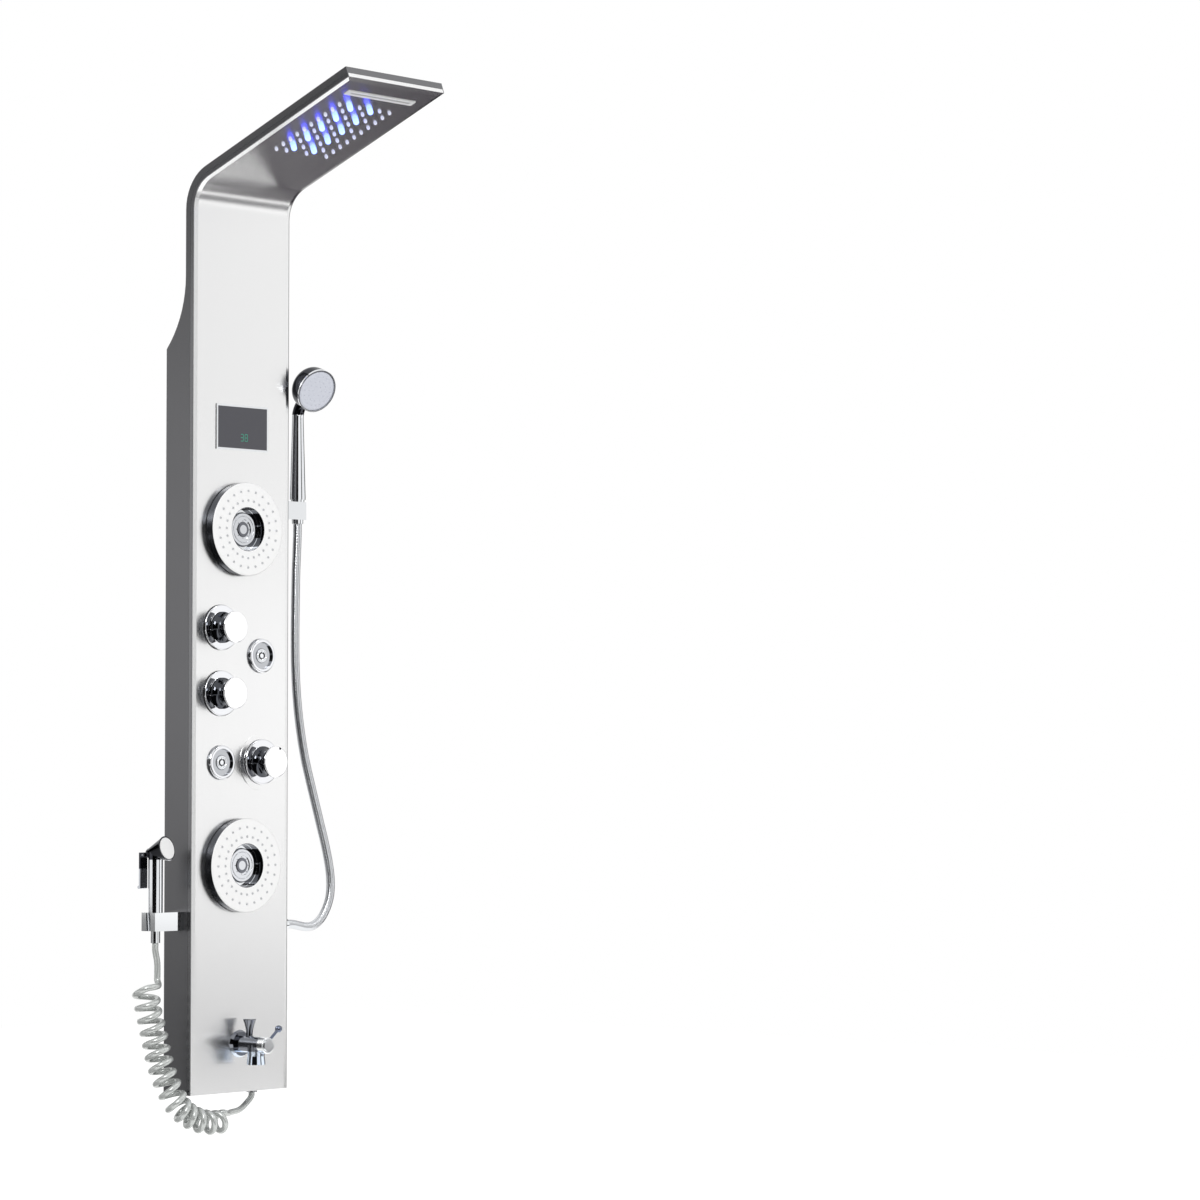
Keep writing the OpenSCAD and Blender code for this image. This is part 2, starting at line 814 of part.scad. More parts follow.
module side_jet(side) {
    jet_body(side_jet_r, side_jet_proud, side_recess_share * side_jet_r, side_ball_r, side_ball_back,
        side_wall, side_stub_reach, side);
}

module upper_side_jet() {
    color(chrome) on_front(side_jet_x, upper_side_up) side_jet(1);
}

module lower_side_jet() {
    color(chrome) on_front(-side_jet_x, lower_side_up) side_jet(-1);
}

module upper_side_ball() {
    color(chrome) on_front(side_jet_x, upper_side_up) translate([0, 0, -side_ball_back]) ball_nozzle(side_ball_r);
}

module lower_side_ball() {
    color(chrome) on_front(-side_jet_x, lower_side_up) translate([0, 0, -side_ball_back]) ball_nozzle(side_ball_r);
}

// Hexagonal nut that clamps a jet from behind the skin
module lock_nut(bore_r) {
    translate([0, 0, -sheet - nut_t]) difference() {
        cylinder(h = nut_t, r = bore_r + nut_wall, $fn = 6);
        translate([0, 0, -over]) cylinder(h = nut_t + 2 * over, r = bore_r + shaft_gap);
    }
}

module jet_lock_nuts() {
    color(brass) {
        for (up = [upper_jet_up, lower_jet_up]) on_front(0, up) lock_nut(jet_ball_r + jet_wall);
        on_front(side_jet_x, upper_side_up) lock_nut(side_ball_r + side_wall);
        on_front(-side_jet_x, lower_side_up) lock_nut(side_ball_r + side_wall);
    }
}

// Knobs
module knob_flange() {
    edge = flange_t / 2;
    rotate_extrude($fn = 96) difference() {
        union() {
            square([knob_flange_r - edge, flange_t]);
            translate([knob_flange_r - edge, edge]) circle(edge);
            square([0.7 * knob_flange_r, 1.2 * flange_t]);
        }
        translate([0, -over]) square([collar_r + shaft_gap, 2 * flange_t + 2 * over]);
    }
}

module knob_flanges() {
    color(chrome) {
        on_front(-knob_x, upper_knob_up) knob_flange();
        on_front(-knob_x, lower_knob_up) knob_flange();
        on_front(knob_x, mixer_up) translate([0, 0, escutcheon_t]) knob_flange();
    }
}

module knob() {
    rise = knob_proud - knob_rim - (knob_rear + knob_proud - knob_rim) / 2;
    flare = knob_front_r - knob_waist_r;
    hollow_r = (flare * flare + rise * rise) / (2 * flare);
    difference() {
        rotate_extrude($fn = 96) difference() {
            union() {
                translate([0, knob_rear]) square([knob_front_r, knob_proud - knob_rear - knob_edge_r]);
                translate([0, knob_rear]) square([knob_front_r - knob_edge_r, knob_proud - knob_rear]);
                translate([knob_front_r - knob_edge_r, knob_proud - knob_edge_r]) circle(knob_edge_r);
            }
            translate([knob_waist_r + hollow_r, (knob_rear + knob_proud - knob_rim) / 2]) circle(hollow_r, $fn = 180);
        }
        translate([0, 0, knob_rear - over]) cylinder(h = spindle_reach - knob_rear + over + slip, r = spindle_r);
    }
}

module spindle() {
    translate([0, 0, -spindle_root]) cylinder(h = spindle_root + spindle_reach, r = spindle_r);
}

// Valve body behind the skin, with its neck through the skin and pipe stubs on the sides asked for
module valve(r, depth, stub, stub_turns, neck_to) {
    difference() {
        union() {
            translate([0, 0, -depth]) cylinder(h = depth - sheet, r = r);
            translate([0, 0, -sheet]) cylinder(h = sheet + neck_to, r = collar_r);
            translate([0, 0, -pipe_back]) for (turn = stub_turns) rotate([0, 0, turn]) rotate([0, 90, 0]) cylinder(h = stub, r = stub_r);
            translate([0, 0, -depth - hex_t]) cylinder(h = hex_t, r = hex_af / sqrt(3), $fn = 6);
        }
        translate([0, 0, -spindle_root]) cylinder(h = spindle_root + neck_to + over, r = spindle_r + shaft_gap);
    }
}

module diverter_valve() {
    valve(valve_r, valve_depth, valve_stub, [0, 90, 270], knob_rear - run_gap);
}

module upper_diverter_valve() {
    color(brass) on_front(-knob_x, upper_knob_up) diverter_valve();
}

module lower_diverter_valve() {
    color(brass) on_front(-knob_x, lower_knob_up) diverter_valve();
}

module upper_diverter_knob() {
    color(chrome) on_front(-knob_x, upper_knob_up) knob();
}

module lower_diverter_knob() {
    color(chrome) on_front(-knob_x, lower_knob_up) knob();
}

module upper_diverter_spindle() {
    color(brass) on_front(-knob_x, upper_knob_up) spindle();
}

module lower_diverter_spindle() {
    color(brass) on_front(-knob_x, lower_knob_up) spindle();
}

module mixer_escutcheon() {
    color(steel) on_front(knob_x, mixer_up) difference() {
        cylinder(h = escutcheon_t, r = escutcheon_r, $fn = 96);
        translate([0, 0, -over]) cylinder(h = escutcheon_t + 2 * over, r = collar_r + shaft_gap);
    }
}

module mixer_knob() {
    color(chrome) on_front(knob_x, mixer_up) knob();
}

module mixer_spindle() {
    color(brass) on_front(knob_x, mixer_up) spindle();
}

module mixer_valve() {
    inlet_y = pipe_back + front_y;
    color(brass) {
        on_front(knob_x, mixer_up) valve(mixer_r, mixer_depth, mixer_stub, [90], knob_rear - run_gap);
        for (side = [-1, 1])
            from_foot() translate([knob_x, inlet_y, mixer_up]) {
                rotate([0, 90 * side, 0]) cylinder(h = inlet_spacing / 2, r = stub_r + over);
                translate([side * inlet_spacing / 2, 0, 0]) sphere(inlet_boss_r);
                translate([side * inlet_spacing / 2, 0, 0]) rotate([-90, 0, 0]) {
                    cylinder(h = inlet_end_y - inlet_len - inlet_y, r = inlet_boss_r);
                    cylinder(h = inlet_end_y - inlet_y, r = inlet_relief_r);
                    translate([0, 0, inlet_end_y - inlet_len + inlet_relief - inlet_y])
                        cylinder(h = inlet_len - inlet_relief, r = inlet_r);
                }
            }
    }
}

// Rain head
module rain_nozzle() {
    difference() {
        union() {
            translate([0, 0, -board_front - board_t]) cylinder(h = board_front + board_t + nozzle_proud / 2, r = rain_nozzle_r, $fn = 24);
            translate([0, 0, -board_front]) cylinder(h = board_front - sheet, r = nozzle_collar_r, $fn = 24);
            translate([0, 0, nozzle_proud / 2]) cylinder(h = nozzle_proud / 2, r1 = rain_nozzle_r, r2 = rain_nozzle_r - nozzle_bore_r, $fn = 24);
        }
        translate([0, 0, -board_front - board_t - over])
            cylinder(h = board_front + board_t + nozzle_proud + 2 * over, r = nozzle_bore_r, $fn = 16);
    }
}

module rain_nozzles() {
    color(white) at_rain_places(1) rain_nozzle();
}

module lens() {
    translate([0, 0, -board_front]) cylinder(h = board_front - sheet, r = lens_flange_r);
    translate([0, 0, -sheet]) cylinder(h = sheet + lens_proud - lens_r, r = lens_r);
    translate([0, 0, lens_proud - lens_r]) sphere(lens_r);
}

module led_lenses() {
    color(lamp_blue) at_rain_places(2) lens();
}

// Blocks behind the rain field share one outline
field_w = (rain_columns - 1) * column_pitch + 2 * chamber_margin;
field_len = (rain_rows - 1) * row_pitch + 2 * chamber_margin;
field_mid = rain_start + (rain_rows - 1) * row_pitch / 2;

module led_board() {
    color(board_green) difference() {
        under_arm(0, field_mid) translate([0, 0, -board_front - board_t])
            linear_extrude(board_t) square([field_w, field_len], center = true);
        at_rain_places(1) translate([0, 0, -board_front - board_t - over])
            cylinder(h = board_t + 2 * over, r = rain_nozzle_r + slip, $fn = 24);
    }
}

module rain_chamber() {
    color(pale_grey) under_arm(0, field_mid) translate([0, 0, -board_front - board_t - chamber_t])
        linear_extrude(chamber_t) difference() {
            square([field_w, field_len], center = true);
            for (sx = [-1, 1], sy = [-1, 1])
                translate([sx * field_w / 2, sy * field_len / 2]) circle(chamber_margin / 2);
        }
}

module waterfall_spout() {
    inner = [fall_w - 2 * fall_flange, fall_h - 2 * fall_flange];
    color(white) under_arm(0, fall_at) difference() {
        union() {
            linear_extrude(fall_lip) square([fall_w, fall_h], center = true);
            translate([0, 0, -fall_depth]) linear_extrude(fall_depth) square(inner, center = true);
            translate([inner[0] / 2 - duct_w, -inner[1] / 2, -fall_depth]) cube([duct_w, inner[1], fall_depth - sheet]);
        }
        translate([0, 0, -fall_depth + over]) linear_extrude(fall_depth + fall_lip)
            square([inner[0] - 2 * fall_slit_inset, fall_slit], center = true);
    }
}

// Generator in the rain riser, which lights the lamps
module generator_housing() {
    cavity_r = gen_r - gen_wall;
    color(black) from_foot() translate([-knob_x, pipe_y, gen_up]) difference() {
        union() {
            cylinder(h = gen_h, r = gen_r);
            translate([0, 0, -gen_stub]) cylinder(h = gen_h + 2 * gen_stub, r = stub_r);
        }
        translate([0, 0, gen_wall]) cylinder(h = gen_h - 2 * gen_wall, r = cavity_r);
        translate([0, 0, gen_wall / 2]) cylinder(h = gen_h - gen_wall, r = gen_shaft_r + shaft_gap);
    }
}

module generator_rotor() {
    blade_r = gen_r - gen_wall - 2 * run_gap;
    color(white) from_foot() translate([-knob_x, pipe_y, gen_up + gen_wall + run_gap]) {
        h = gen_h - 2 * gen_wall - 2 * run_gap;
        cylinder(h = h, r = 3 * gen_shaft_r);
        translate([0, 0, -gen_wall / 2]) cylinder(h = h + gen_wall, r = gen_shaft_r);
        for (k = [0:gen_blades - 1])
            rotate([0, 0, 360 * k / gen_blades]) translate([0, -gen_blade_t / 2, 0]) cube([blade_r, gen_blade_t, h]);
    }
}

// Pipes
// Bend of a pipe between the neck and the arm, with a thicker elbow wall
module pipe_bend(x, r) {
    difference() {
        from_foot() translate([x, bend_y, bend_up]) rotate([90, 0, 90]) rotate_extrude(angle = 90)
            translate([bend_r + neck_pipe_back, 0]) circle(r);
        along_arm() translate([-panel_w, bend_y, bend_up + elbow_wall]) cube([2 * panel_w, 2 * bend_r, 2 * bend_r]);
    }
}

module rain_riser() {
    arm_foot = field_mid - field_len / 2;
    curve_foot = deep_up - 2 * pipe_back;
    curve_head = neck_up - neck_pipe_back;
    color(zinc) {
        from_foot() pipe([[-knob_x, pipe_y, upper_knob_up + valve_stub], [-knob_x, pipe_y, gen_up - gen_stub]], pipe_r);
        from_foot() pipe([[-knob_x, pipe_y, gen_up + gen_h + gen_stub], [-knob_x, pipe_y, curve_foot],
            [-knob_x, neck_pipe_y, curve_head], [-knob_x, neck_pipe_y, bend_up + elbow_wall]], pipe_r);
        pipe_bend(-knob_x, pipe_r + elbow_wall / 2);
        along_arm() pipe([[-knob_x, neck_pipe_y, bend_up - elbow_wall], [-knob_x, neck_pipe_y, bend_up + arm_foot]], pipe_r);
    }
}

module body_riser() {
    curve_foot = deep_up - 2 * pipe_back;
    curve_head = neck_up - neck_pipe_back;
    x_head = riser_x - pipe_r;
    color(zinc) {
        from_foot() pipe([[riser_x, pipe_y, outlet_up + stub_r], [riser_x, pipe_y, curve_foot],
            [x_head, neck_pipe_y, curve_head], [x_head, neck_pipe_y, bend_up + elbow_wall]], pipe_r);
        pipe_bend(x_head, pipe_r + elbow_wall / 2);
        along_arm() pipe([[x_head, neck_pipe_y, bend_up - elbow_wall], [x_head, neck_pipe_y, bend_up + fall_at],
            [fall_w / 2 - fall_flange, neck_pipe_y, bend_up + fall_at]], pipe_r);
        from_foot() for (branch = [[upper_jet_up, jet_stub_reach], [upper_side_up, side_jet_x + side_stub_reach],
                [upper_knob_up, valve_stub - knob_x]])
            pipe([[riser_x, pipe_y, branch[0]], [branch[1], pipe_y, branch[0]]], branch_r);
    }
}

module branch_pipes() {
    color(zinc) from_foot() {
        pipe([[knob_x, pipe_y, mixer_up + mixer_stub], [knob_x, pipe_y, lower_knob_up],
            [valve_stub - knob_x, pipe_y, lower_knob_up]], pipe_r);
        pipe([[-knob_x, pipe_y, lower_knob_up + valve_stub], [-knob_x, pipe_y, upper_knob_up - valve_stub]], pipe_r);
        pipe([[-knob_x, pipe_y, lower_knob_up - valve_stub], [-knob_x, pipe_y, down_start_up],
            [down_x, pipe_y, down_start_up], [down_x, pipe_y, low_run_up], [coil_out_x, pipe_y, low_run_up],
            [coil_out_x, pipe_y, low_run_up - pipe_r - stub_r / 2]], pipe_r);
        for (branch = [[lower_side_up, -side_jet_x - side_stub_reach], [lower_jet_up, -jet_stub_reach],
                [spout_up, -spout_r - stub_r]])
            pipe([[down_x, pipe_y, branch[0]], [branch[1], pipe_y, branch[0]]], branch_r);
    }
}

// Hand shower
handset_x = panel_w / 2 + handset_out;
handle_foot = holder_h / 2 + handle_gap;
handset_y = front_y + handset_back;

// Upright on the handle's axis, with forward along -Y and Z from the middle of the holder
module on_handset() {
    from_foot() translate([handset_x, handset_y, holder_up]) rotate([0, 0, handset_yaw]) children();
}

// On the spray face, with Z out of it
module on_face() {
    on_handset() translate([0, -head_reach, head_rise]) rotate([90 + head_tilt, 0, 0]) children();
}

// Head profile from the face back: a straight wall, a round shoulder and a shallow dome that meet smoothly
module head_profile(r, depth, wall_h, shoulder_r) {
    across_r = r - shoulder_r;
    rise = depth - wall_h;
    dome_r = (across_r * across_r + rise * rise - shoulder_r * shoulder_r) / (2 * (rise - shoulder_r));
    middle = depth - dome_r;
    square([r, wall_h]);
    translate([across_r, wall_h]) circle(shoulder_r, $fn = 96);
    intersection() {
        translate([0, middle]) circle(dome_r, $fn = 180);
        polygon([[0, middle], [3 * across_r, middle + 3 * (wall_h - middle)], [0, 3 * depth]]);
    }
    square([across_r, wall_h + shoulder_r]);
}

// On the end of the handle's bend, with Z along the neck
module on_neck() {
    on_handset() translate([0, -neck_bend_r, handle_foot + handle_len]) rotate([neck_bend, 0, 0])
        translate([0, neck_bend_r, 0]) children();
}

module neck_bend_tube() {
    difference() {
        on_handset() translate([0, -neck_bend_r, handle_foot + handle_len]) rotate([90, 0, 90])
            rotate_extrude(angle = 90) translate([neck_bend_r, 0]) circle(neck_r);
        on_neck() translate([-neck_bend_r, -neck_bend_r, 0]) cube(2 * neck_bend_r);
    }
}

module handset_shell() {
    color(chrome) difference() {
        union() {
            on_handset() {
                translate([0, 0, handle_foot]) cylinder(h = collar_h, r = handle_r);
                translate([0, 0, handle_foot + collar_h]) cylinder(h = handle_len - collar_h, r1 = handle_r, r2 = neck_r);
            }
            neck_bend_tube();
            on_neck() cylinder(h = neck_tail, r = neck_r);
            on_face() mirror([0, 0, 1]) rotate_extrude($fn = 96) difference() {
                head_profile(head_r, head_depth, head_wall_h, head_shoulder_r);
                translate([-over, -over]) square([head_r - ring_t + over, face_t + over]);
                translate([head_r - ring_t - slip, -over]) square([head_r, ring_h + run_gap + over]);
            }
        }
    }
}

module handset_ring() {
    inner_r = head_r - ring_t + slip;
    color(chrome) on_face() {
        translate([0, 0, -ring_h]) difference() {
            cylinder(h = ring_h + face_proud, r = head_r + ring_t / 2, $fn = 96);
            translate([0, 0, -over]) cylinder(h = ring_h + face_proud + 2 * over, r = inner_r, $fn = 96);
        }
        difference() {
            translate([head_r, -tab_w / 2, -ring_h]) cube([tab_reach, tab_w, ring_h / 2]);
            translate([0, 0, -ring_h - over]) cylinder(h = ring_h, r = head_r);
        }
    }
}

module handset_face() {
    r = head_r - ring_t - slip;
    color(pale_grey) on_face() difference() {
        union() {
            translate([0, 0, -face_t]) cylinder(h = face_t, r = r, $fn = 96);
            cylinder(h = face_proud, r1 = r, r2 = r - 2 * face_proud, $fn = 96);
        }
        for (ring = [1:3], k = [0:6 * ring - 1])
            rotate([0, 0, 60 * k / ring]) translate([r * ring / 4, 0, face_proud / 2]) cylinder(h = face_proud, r = spray_hole_r, $fn = 16);
    }
}

cone_len = holder_h + cone_below + handle_gap;
cone_foot = -holder_h / 2 - cone_below;
function cone_r_at(z) = cone_foot_r + (z - cone_foot) * (cone_top_r - cone_foot_r) / cone_len;

module handset_cone() {
    color(chrome) on_handset() translate([0, 0, cone_foot]) cylinder(h = cone_len, r1 = cone_foot_r, r2 = cone_top_r);
}

// Holder block with a tapered seat and a slot at its outer end for the hose
module holder(len, depth, out, top_r, foot_r, slot, side) {
    difference() {
        translate([side > 0 ? 0 : -len, -depth / 2, -holder_h / 2]) cube([len, depth, holder_h]);
        translate([side * out, 0, -holder_h / 2 - over])
            cylinder(h = holder_h + 2 * over, r1 = foot_r + run_gap, r2 = top_r + run_gap);
        translate([side > 0 ? out : -out - len, -slot / 2, -holder_h / 2 - over])
            cube([len, slot, holder_h + 2 * over]);
    }
}

module handset_holder() {
    color(chrome) from_foot() translate([panel_w / 2, handset_y, holder_up])
        holder(holder_len, holder_depth, handset_out, cone_r_at(holder_h / 2 + over), cone_r_at(-holder_h / 2 - over),
            shower_hose_d + 2 * slip, 1);
}

// Hoses
// Route of the shower hose from the cone to the outlet, chosen by hand
hose_route = [
    [143, -34.5, 879.7], [143, -34.5, 866], [142.7, -34, 846], [141.5, -33, 800], [141, -32.5, 750],
    [141, -32, 700], [142.5, -31.5, 650], [146.5, -31, 605], [153.5, -30.5, 560], [164.5, -30, 512],
    [179.5, -30, 464], [196, -30, 414], [211.5, -30, 366], [220.5, -30, 325], [219, -30, 291],
    [204.5, -30, 263], [186, -30, 249], [168, -30, 246.5], [152, -30, 249], [138, -30, 251.6], [126.3, -30, 252]
];
rib_line = even(smooth(hose_route, 6), 2 * rib_count);
bore_line = even(smooth(hose_route, 6), bore_rings);
rib_radii = [for (i = [0:2 * rib_count]) shower_hose_d / 2 - (i % 2) * rib_depth];

module shower_hose() {
    color(zinc) from_foot() bored_tube(rib_line, rib_radii, bore_line, hose_bore_r, 8, [1, 0, 0]);
}

module shower_hose_nut() {
    color(chrome) from_foot() translate([outlet_x, pipe_y, outlet_up]) rotate([0, -90, 0])
        cylinder(h = hose_nut_len, r1 = shower_hose_d / 2 + over, r2 = hose_nut_r);
}

module shower_outlet() {
    side_x = panel_w / 2;
    color(chrome) from_foot() translate([side_x, pipe_y, outlet_up]) {
        rotate([0, 90, 0]) cylinder(h = outlet_flange_t, r = outlet_flange_r);
        rotate([0, 90, 0]) cylinder(h = outlet_x - hose_nut_len - side_x, r = hose_nut_r - sheet);
        translate([riser_x - side_x, 0, 0]) rotate([0, 90, 0]) cylinder(h = side_x - riser_x, r = stub_r);
        translate([riser_x - side_x, 0, 0]) sphere(stub_r);
    }
}

// Knots of the bidet hose: place, radius of the curl and turns made so far
coil_knots = [
    [-143.8, -30, 231.7, 0, 0], [-143.8, -30, 220, 0, 0], [-143.5, -29.5, 203, 4, 0], [-147.5, -28.5, 189, 10, 0],
    [-152.5, -27, 177, 15, 0.05], [-156, -26, 165.5, 16.5, 0.3], [-157.5, -26, 153.8, 17, 0.618],
    [-155, -26, 135.3, 16, 1.618], [-150.5, -27, 116.8, 16.4, 2.618], [-146.5, -29, 98.3, 16.7, 3.618],
    [-143.5, -31.5, 79.8, 16.7, 4.618], [-141.5, -35, 61.3, 16.7, 5.618], [-138.5, -39.5, 42.8, 16.7, 6.618],
    [-134.5, -44.5, 24.3, 16.5, 7.618], [-128, -49.5, 6, 16.3, 8.618], [-119.8, -54, -12, 16, 9.618],
    [-108.7, -57, -24, 15.3, 10.618], [-95, -60, -33, 15, 11.618], [-77.5, -61.5, -39.5, 14.7, 12.618],
    [-56, -61, -43, 14.3, 13.618], [-33, -57, -43, 13.8, 14.618], [-24.5, -54.5, -42, 12.5, 15],
    [-14, -51, -38.5, 7, 15], [-2, -46, -33, 1.5, 15], [21, -39, -29.5, 0, 15], [41, -33, -21, 0, 15],
    [52.8, -30.2, -12.5, 0, 15], [54, -30, -5.7, 0, 15]
];
coil_steps = [for (i = [0:len(coil_knots) - 2]) max(3, ceil(8 * (coil_knots[i + 1][4] - coil_knots[i][4])))];
coil_rows = concat(
    [for (i = [0:len(coil_knots) - 2], k = [0:coil_steps[i] - 1])
        curve_at(coil_knots[max(i - 1, 0)], coil_knots[i], coil_knots[i + 1],
            coil_knots[min(i + 2, len(coil_knots) - 1)], k / coil_steps[i])],
    [last(coil_knots)]);
coil_axis = [for (row = coil_rows) [row[0], row[1], row[2]]];
coil_line = [for (i = [0:len(coil_rows) - 1])
    let (t = heading(coil_axis, i), e1 = unit(cross([0, 1, 0], -t)), e2 = cross(t, e1), a = 360 * coil_rows[i][4])
    coil_axis[i] + coil_rows[i][3] * (cos(a) * e1 + sin(a) * e2)];

module coil_hose() {
    color(pale_grey) from_foot()
        tube(coil_line, [for (p = coil_line) coil_hose_d / 2], 6, [1, 0, 0]);
}

echo(least_gap_of_coil = least_gap(coil_line, coil_hose_d, 6));
echo(coil_hose_length = last(runs(coil_line)));
echo(shower_hose_length = last(runs(smooth(hose_route, 6))));

module coil_outlet() {
    color(chrome) from_foot() translate([coil_out_x, pipe_y, 0]) {
        translate([0, 0, -coil_out_drop]) cylinder(h = coil_out_drop - outlet_flange_t / 2, r = coil_nut_r);
        translate([0, 0, -outlet_flange_t / 2]) cylinder(h = outlet_flange_t / 2, r = coil_nut_r + outlet_flange_t);
        cylinder(h = low_run_up - pipe_r - stub_r / 2, r = coil_nut_r - sheet);
    }
}

// Bidet sprayer
sprayer_x = -panel_w / 2 - sprayer_out;
sprayer_y = front_y + sprayer_back;

module on_sprayer() {
    from_foot() translate([sprayer_x, sprayer_y, sprayer_up]) rotate([0, 0, sprayer_turn]) children();
}

// On the head's axis, with Z forward out of the spray face
module on_spray_axis() {
    on_sprayer() translate([0, 0, sprayer_head_up]) rotate([90 - spray_axis_rise, 0, 0]) children();
}

module sprayer_body() {
    foot = holder_h / 2 + slip;
    color(chrome) difference() {
        union() {
            on_sprayer() {
                translate([0, 0, -holder_h / 2]) cylinder(h = holder_h + slip, r1 = sprayer_cone_foot_r, r2 = sprayer_r);
                translate([0, 0, foot]) cylinder(h = sprayer_head_up - foot, r = sprayer_r);
                translate([-boss_w / 2, 0, trigger_pivot_up - ear_r]) cube([boss_w, trigger_pivot_back, 2 * ear_r]);
                translate([-boss_w / 2, trigger_pivot_back, trigger_pivot_up]) rotate([0, 90, 0]) cylinder(h = boss_w, r = ear_r);
            }
            on_spray_axis() {
                translate([0, 0, -spray_back]) cylinder(h = spray_back + spray_face_out, r1 = spray_back_r, r2 = sprayer_head_r);
                translate([0, 0, -spray_back]) sphere(spray_back_r);
            }
        }
        on_spray_axis() translate([0, 0, spray_face_out - spray_rim]) cylinder(h = 2 * spray_rim, r = sprayer_head_r - spray_rim);
        on_sprayer() translate([-trigger_w, trigger_pivot_back, trigger_pivot_up]) rotate([0, 90, 0]) cylinder(h = 2 * trigger_w, r = pin_r);
    }
}

module sprayer_face() {
    color(white) on_spray_axis() translate([0, 0, spray_face_out - spray_rim]) {
        cylinder(h = 1.4 * spray_rim, r = sprayer_head_r - spray_rim);
    }
}

module sprayer_trigger() {
    drop = trigger_pivot_up - trigger_foot_up;
    color(chrome) on_sprayer() difference() {
        union() {
            for (side = [-1, 1])
                translate([side * (trigger_w - ear_t) / 2 - ear_t / 2, trigger_pivot_back, trigger_pivot_up]) {
                    rotate([0, 90, 0]) cylinder(h = ear_t, r = ear_r);
                    translate([0, 0, -ear_r]) cube([ear_t, ear_r + trigger_t, 2 * ear_r]);
                }
            translate([-trigger_w / 2, trigger_pivot_back + ear_r + run_gap, trigger_foot_up]) cube([trigger_w, trigger_t, drop + ear_r]);
            translate([-trigger_w / 2, trigger_pivot_back + ear_r + run_gap + trigger_t, trigger_foot_up]) rotate([0, 90, 0])
                cylinder(h = trigger_w, r = trigger_t);
        }
        translate([-trigger_w, trigger_pivot_back, trigger_pivot_up]) rotate([0, 90, 0])
            cylinder(h = 2 * trigger_w, r = pin_r + shaft_gap);
        translate([-trigger_w, trigger_pivot_back + ear_r + run_gap + trigger_t, trigger_foot_up - 2 * trigger_t])
            translate([0, trigger_t, 0]) cube([2 * trigger_w, trigger_t, drop]);
    }
}

module sprayer_pin() {
    color(zinc) on_sprayer() translate([-trigger_w / 2, trigger_pivot_back, trigger_pivot_up]) rotate([0, 90, 0])
        cylinder(h = trigger_w, r = pin_r);
}

module sprayer_nut() {
    color(chrome) on_sprayer() translate([0, 0, -holder_h / 2 - sprayer_nut_len]) cylinder(h = sprayer_nut_len, r = sprayer_nut_r);
}

module sprayer_holder() {
    color(chrome) from_foot() translate([-panel_w / 2, sprayer_y, sprayer_up])
        holder(sprayer_holder_len, sprayer_holder_depth, sprayer_out, sprayer_r, sprayer_cone_foot_r,
            coil_hose_d + 2 * slip, -1);
}

// Tub spout
module spout_body() {
    color(chrome) on_front(0, spout_up) difference() {
        union() {
            cylinder(h = spout_flange_t, r1 = spout_flange_r, r2 = spout_flange_r - spout_flange_t / 2);
            cylinder(h = spout_len, r1 = spout_r + over, r2 = spout_r);
            translate([0, 0, mouth_out]) rotate([90, 0, 0]) cylinder(h = mouth_drop, r = mouth_r);
            translate([0, 0, -sheet]) cylinder(h = sheet, r = spout_r - 2 * sheet);
            translate([0, 0, -sheet - nut_t]) cylinder(h = nut_t, r = spout_r + nut_wall, $fn = 6);
            translate([0, 0, -spout_tail_back]) cylinder(h = spout_tail_back, r = spout_r - 2 * sheet);
            translate([0, 0, -pipe_back]) rotate([0, -90, 0]) cylinder(h = spout_r + stub_r, r = stub_r);
            translate([0, 0, pull_out]) rotate([-90, 0, 0]) cylinder(h = spout_r + pull_lift, r = pull_waist_r + over);
        }
        translate([0, 0, pull_out]) rotate([-90, 0, 0]) cylinder(h = spout_r + 2 * over, r = pull_stem_r + shaft_gap);
    }
}

module spout_aerator() {
    color(chrome) on_front(0, spout_up) translate([0, -mouth_drop, mouth_out]) rotate([90, 0, 0]) difference() {
        cylinder(h = aerator_h, r1 = mouth_r, r2 = aerator_r);
        translate([0, 0, aerator_h / 2]) cylinder(h = aerator_h, r = aerator_r - aerator_wall);
    }
}

module spout_diverter() {
    base = spout_r + pull_lift + run_gap;
    flare = pull_top_r - pull_waist_r;
    hollow_r = (flare * flare + pull_h * pull_h) / (2 * flare);
    color(chrome) on_front(0, spout_up) translate([0, 0, pull_out]) rotate([-90, 0, 0]) {
        translate([0, 0, base - spout_r]) cylinder(h = spout_r, r = pull_stem_r);
        translate([0, 0, base]) rotate_extrude() difference() {
            square([pull_top_r, pull_h + knob_edge_r]);
            translate([pull_waist_r + hollow_r, 0]) circle(hollow_r, $fn = 180);
        }
    }
}

module spout_lever() {
    mid = spout_len + run_gap + hub_t / 2;
    tip = [lever_len * sin(lever_lean), lever_len * cos(lever_lean), mid];
    color(chrome) on_front(0, spout_up) {
        translate([0, 0, spout_len + run_gap]) rotate_extrude() {
            square([hub_r - knob_edge_r, hub_t]);
            square([hub_r, hub_t - knob_edge_r]);
            translate([hub_r - knob_edge_r, hub_t - knob_edge_r]) circle(knob_edge_r);
            square([hub_cap_r, hub_t + knob_edge_r]);
        }
        bar([0, 0, mid], tip, lever_rod_r);
        translate(tip) sphere(lever_ball_r);
    }
}

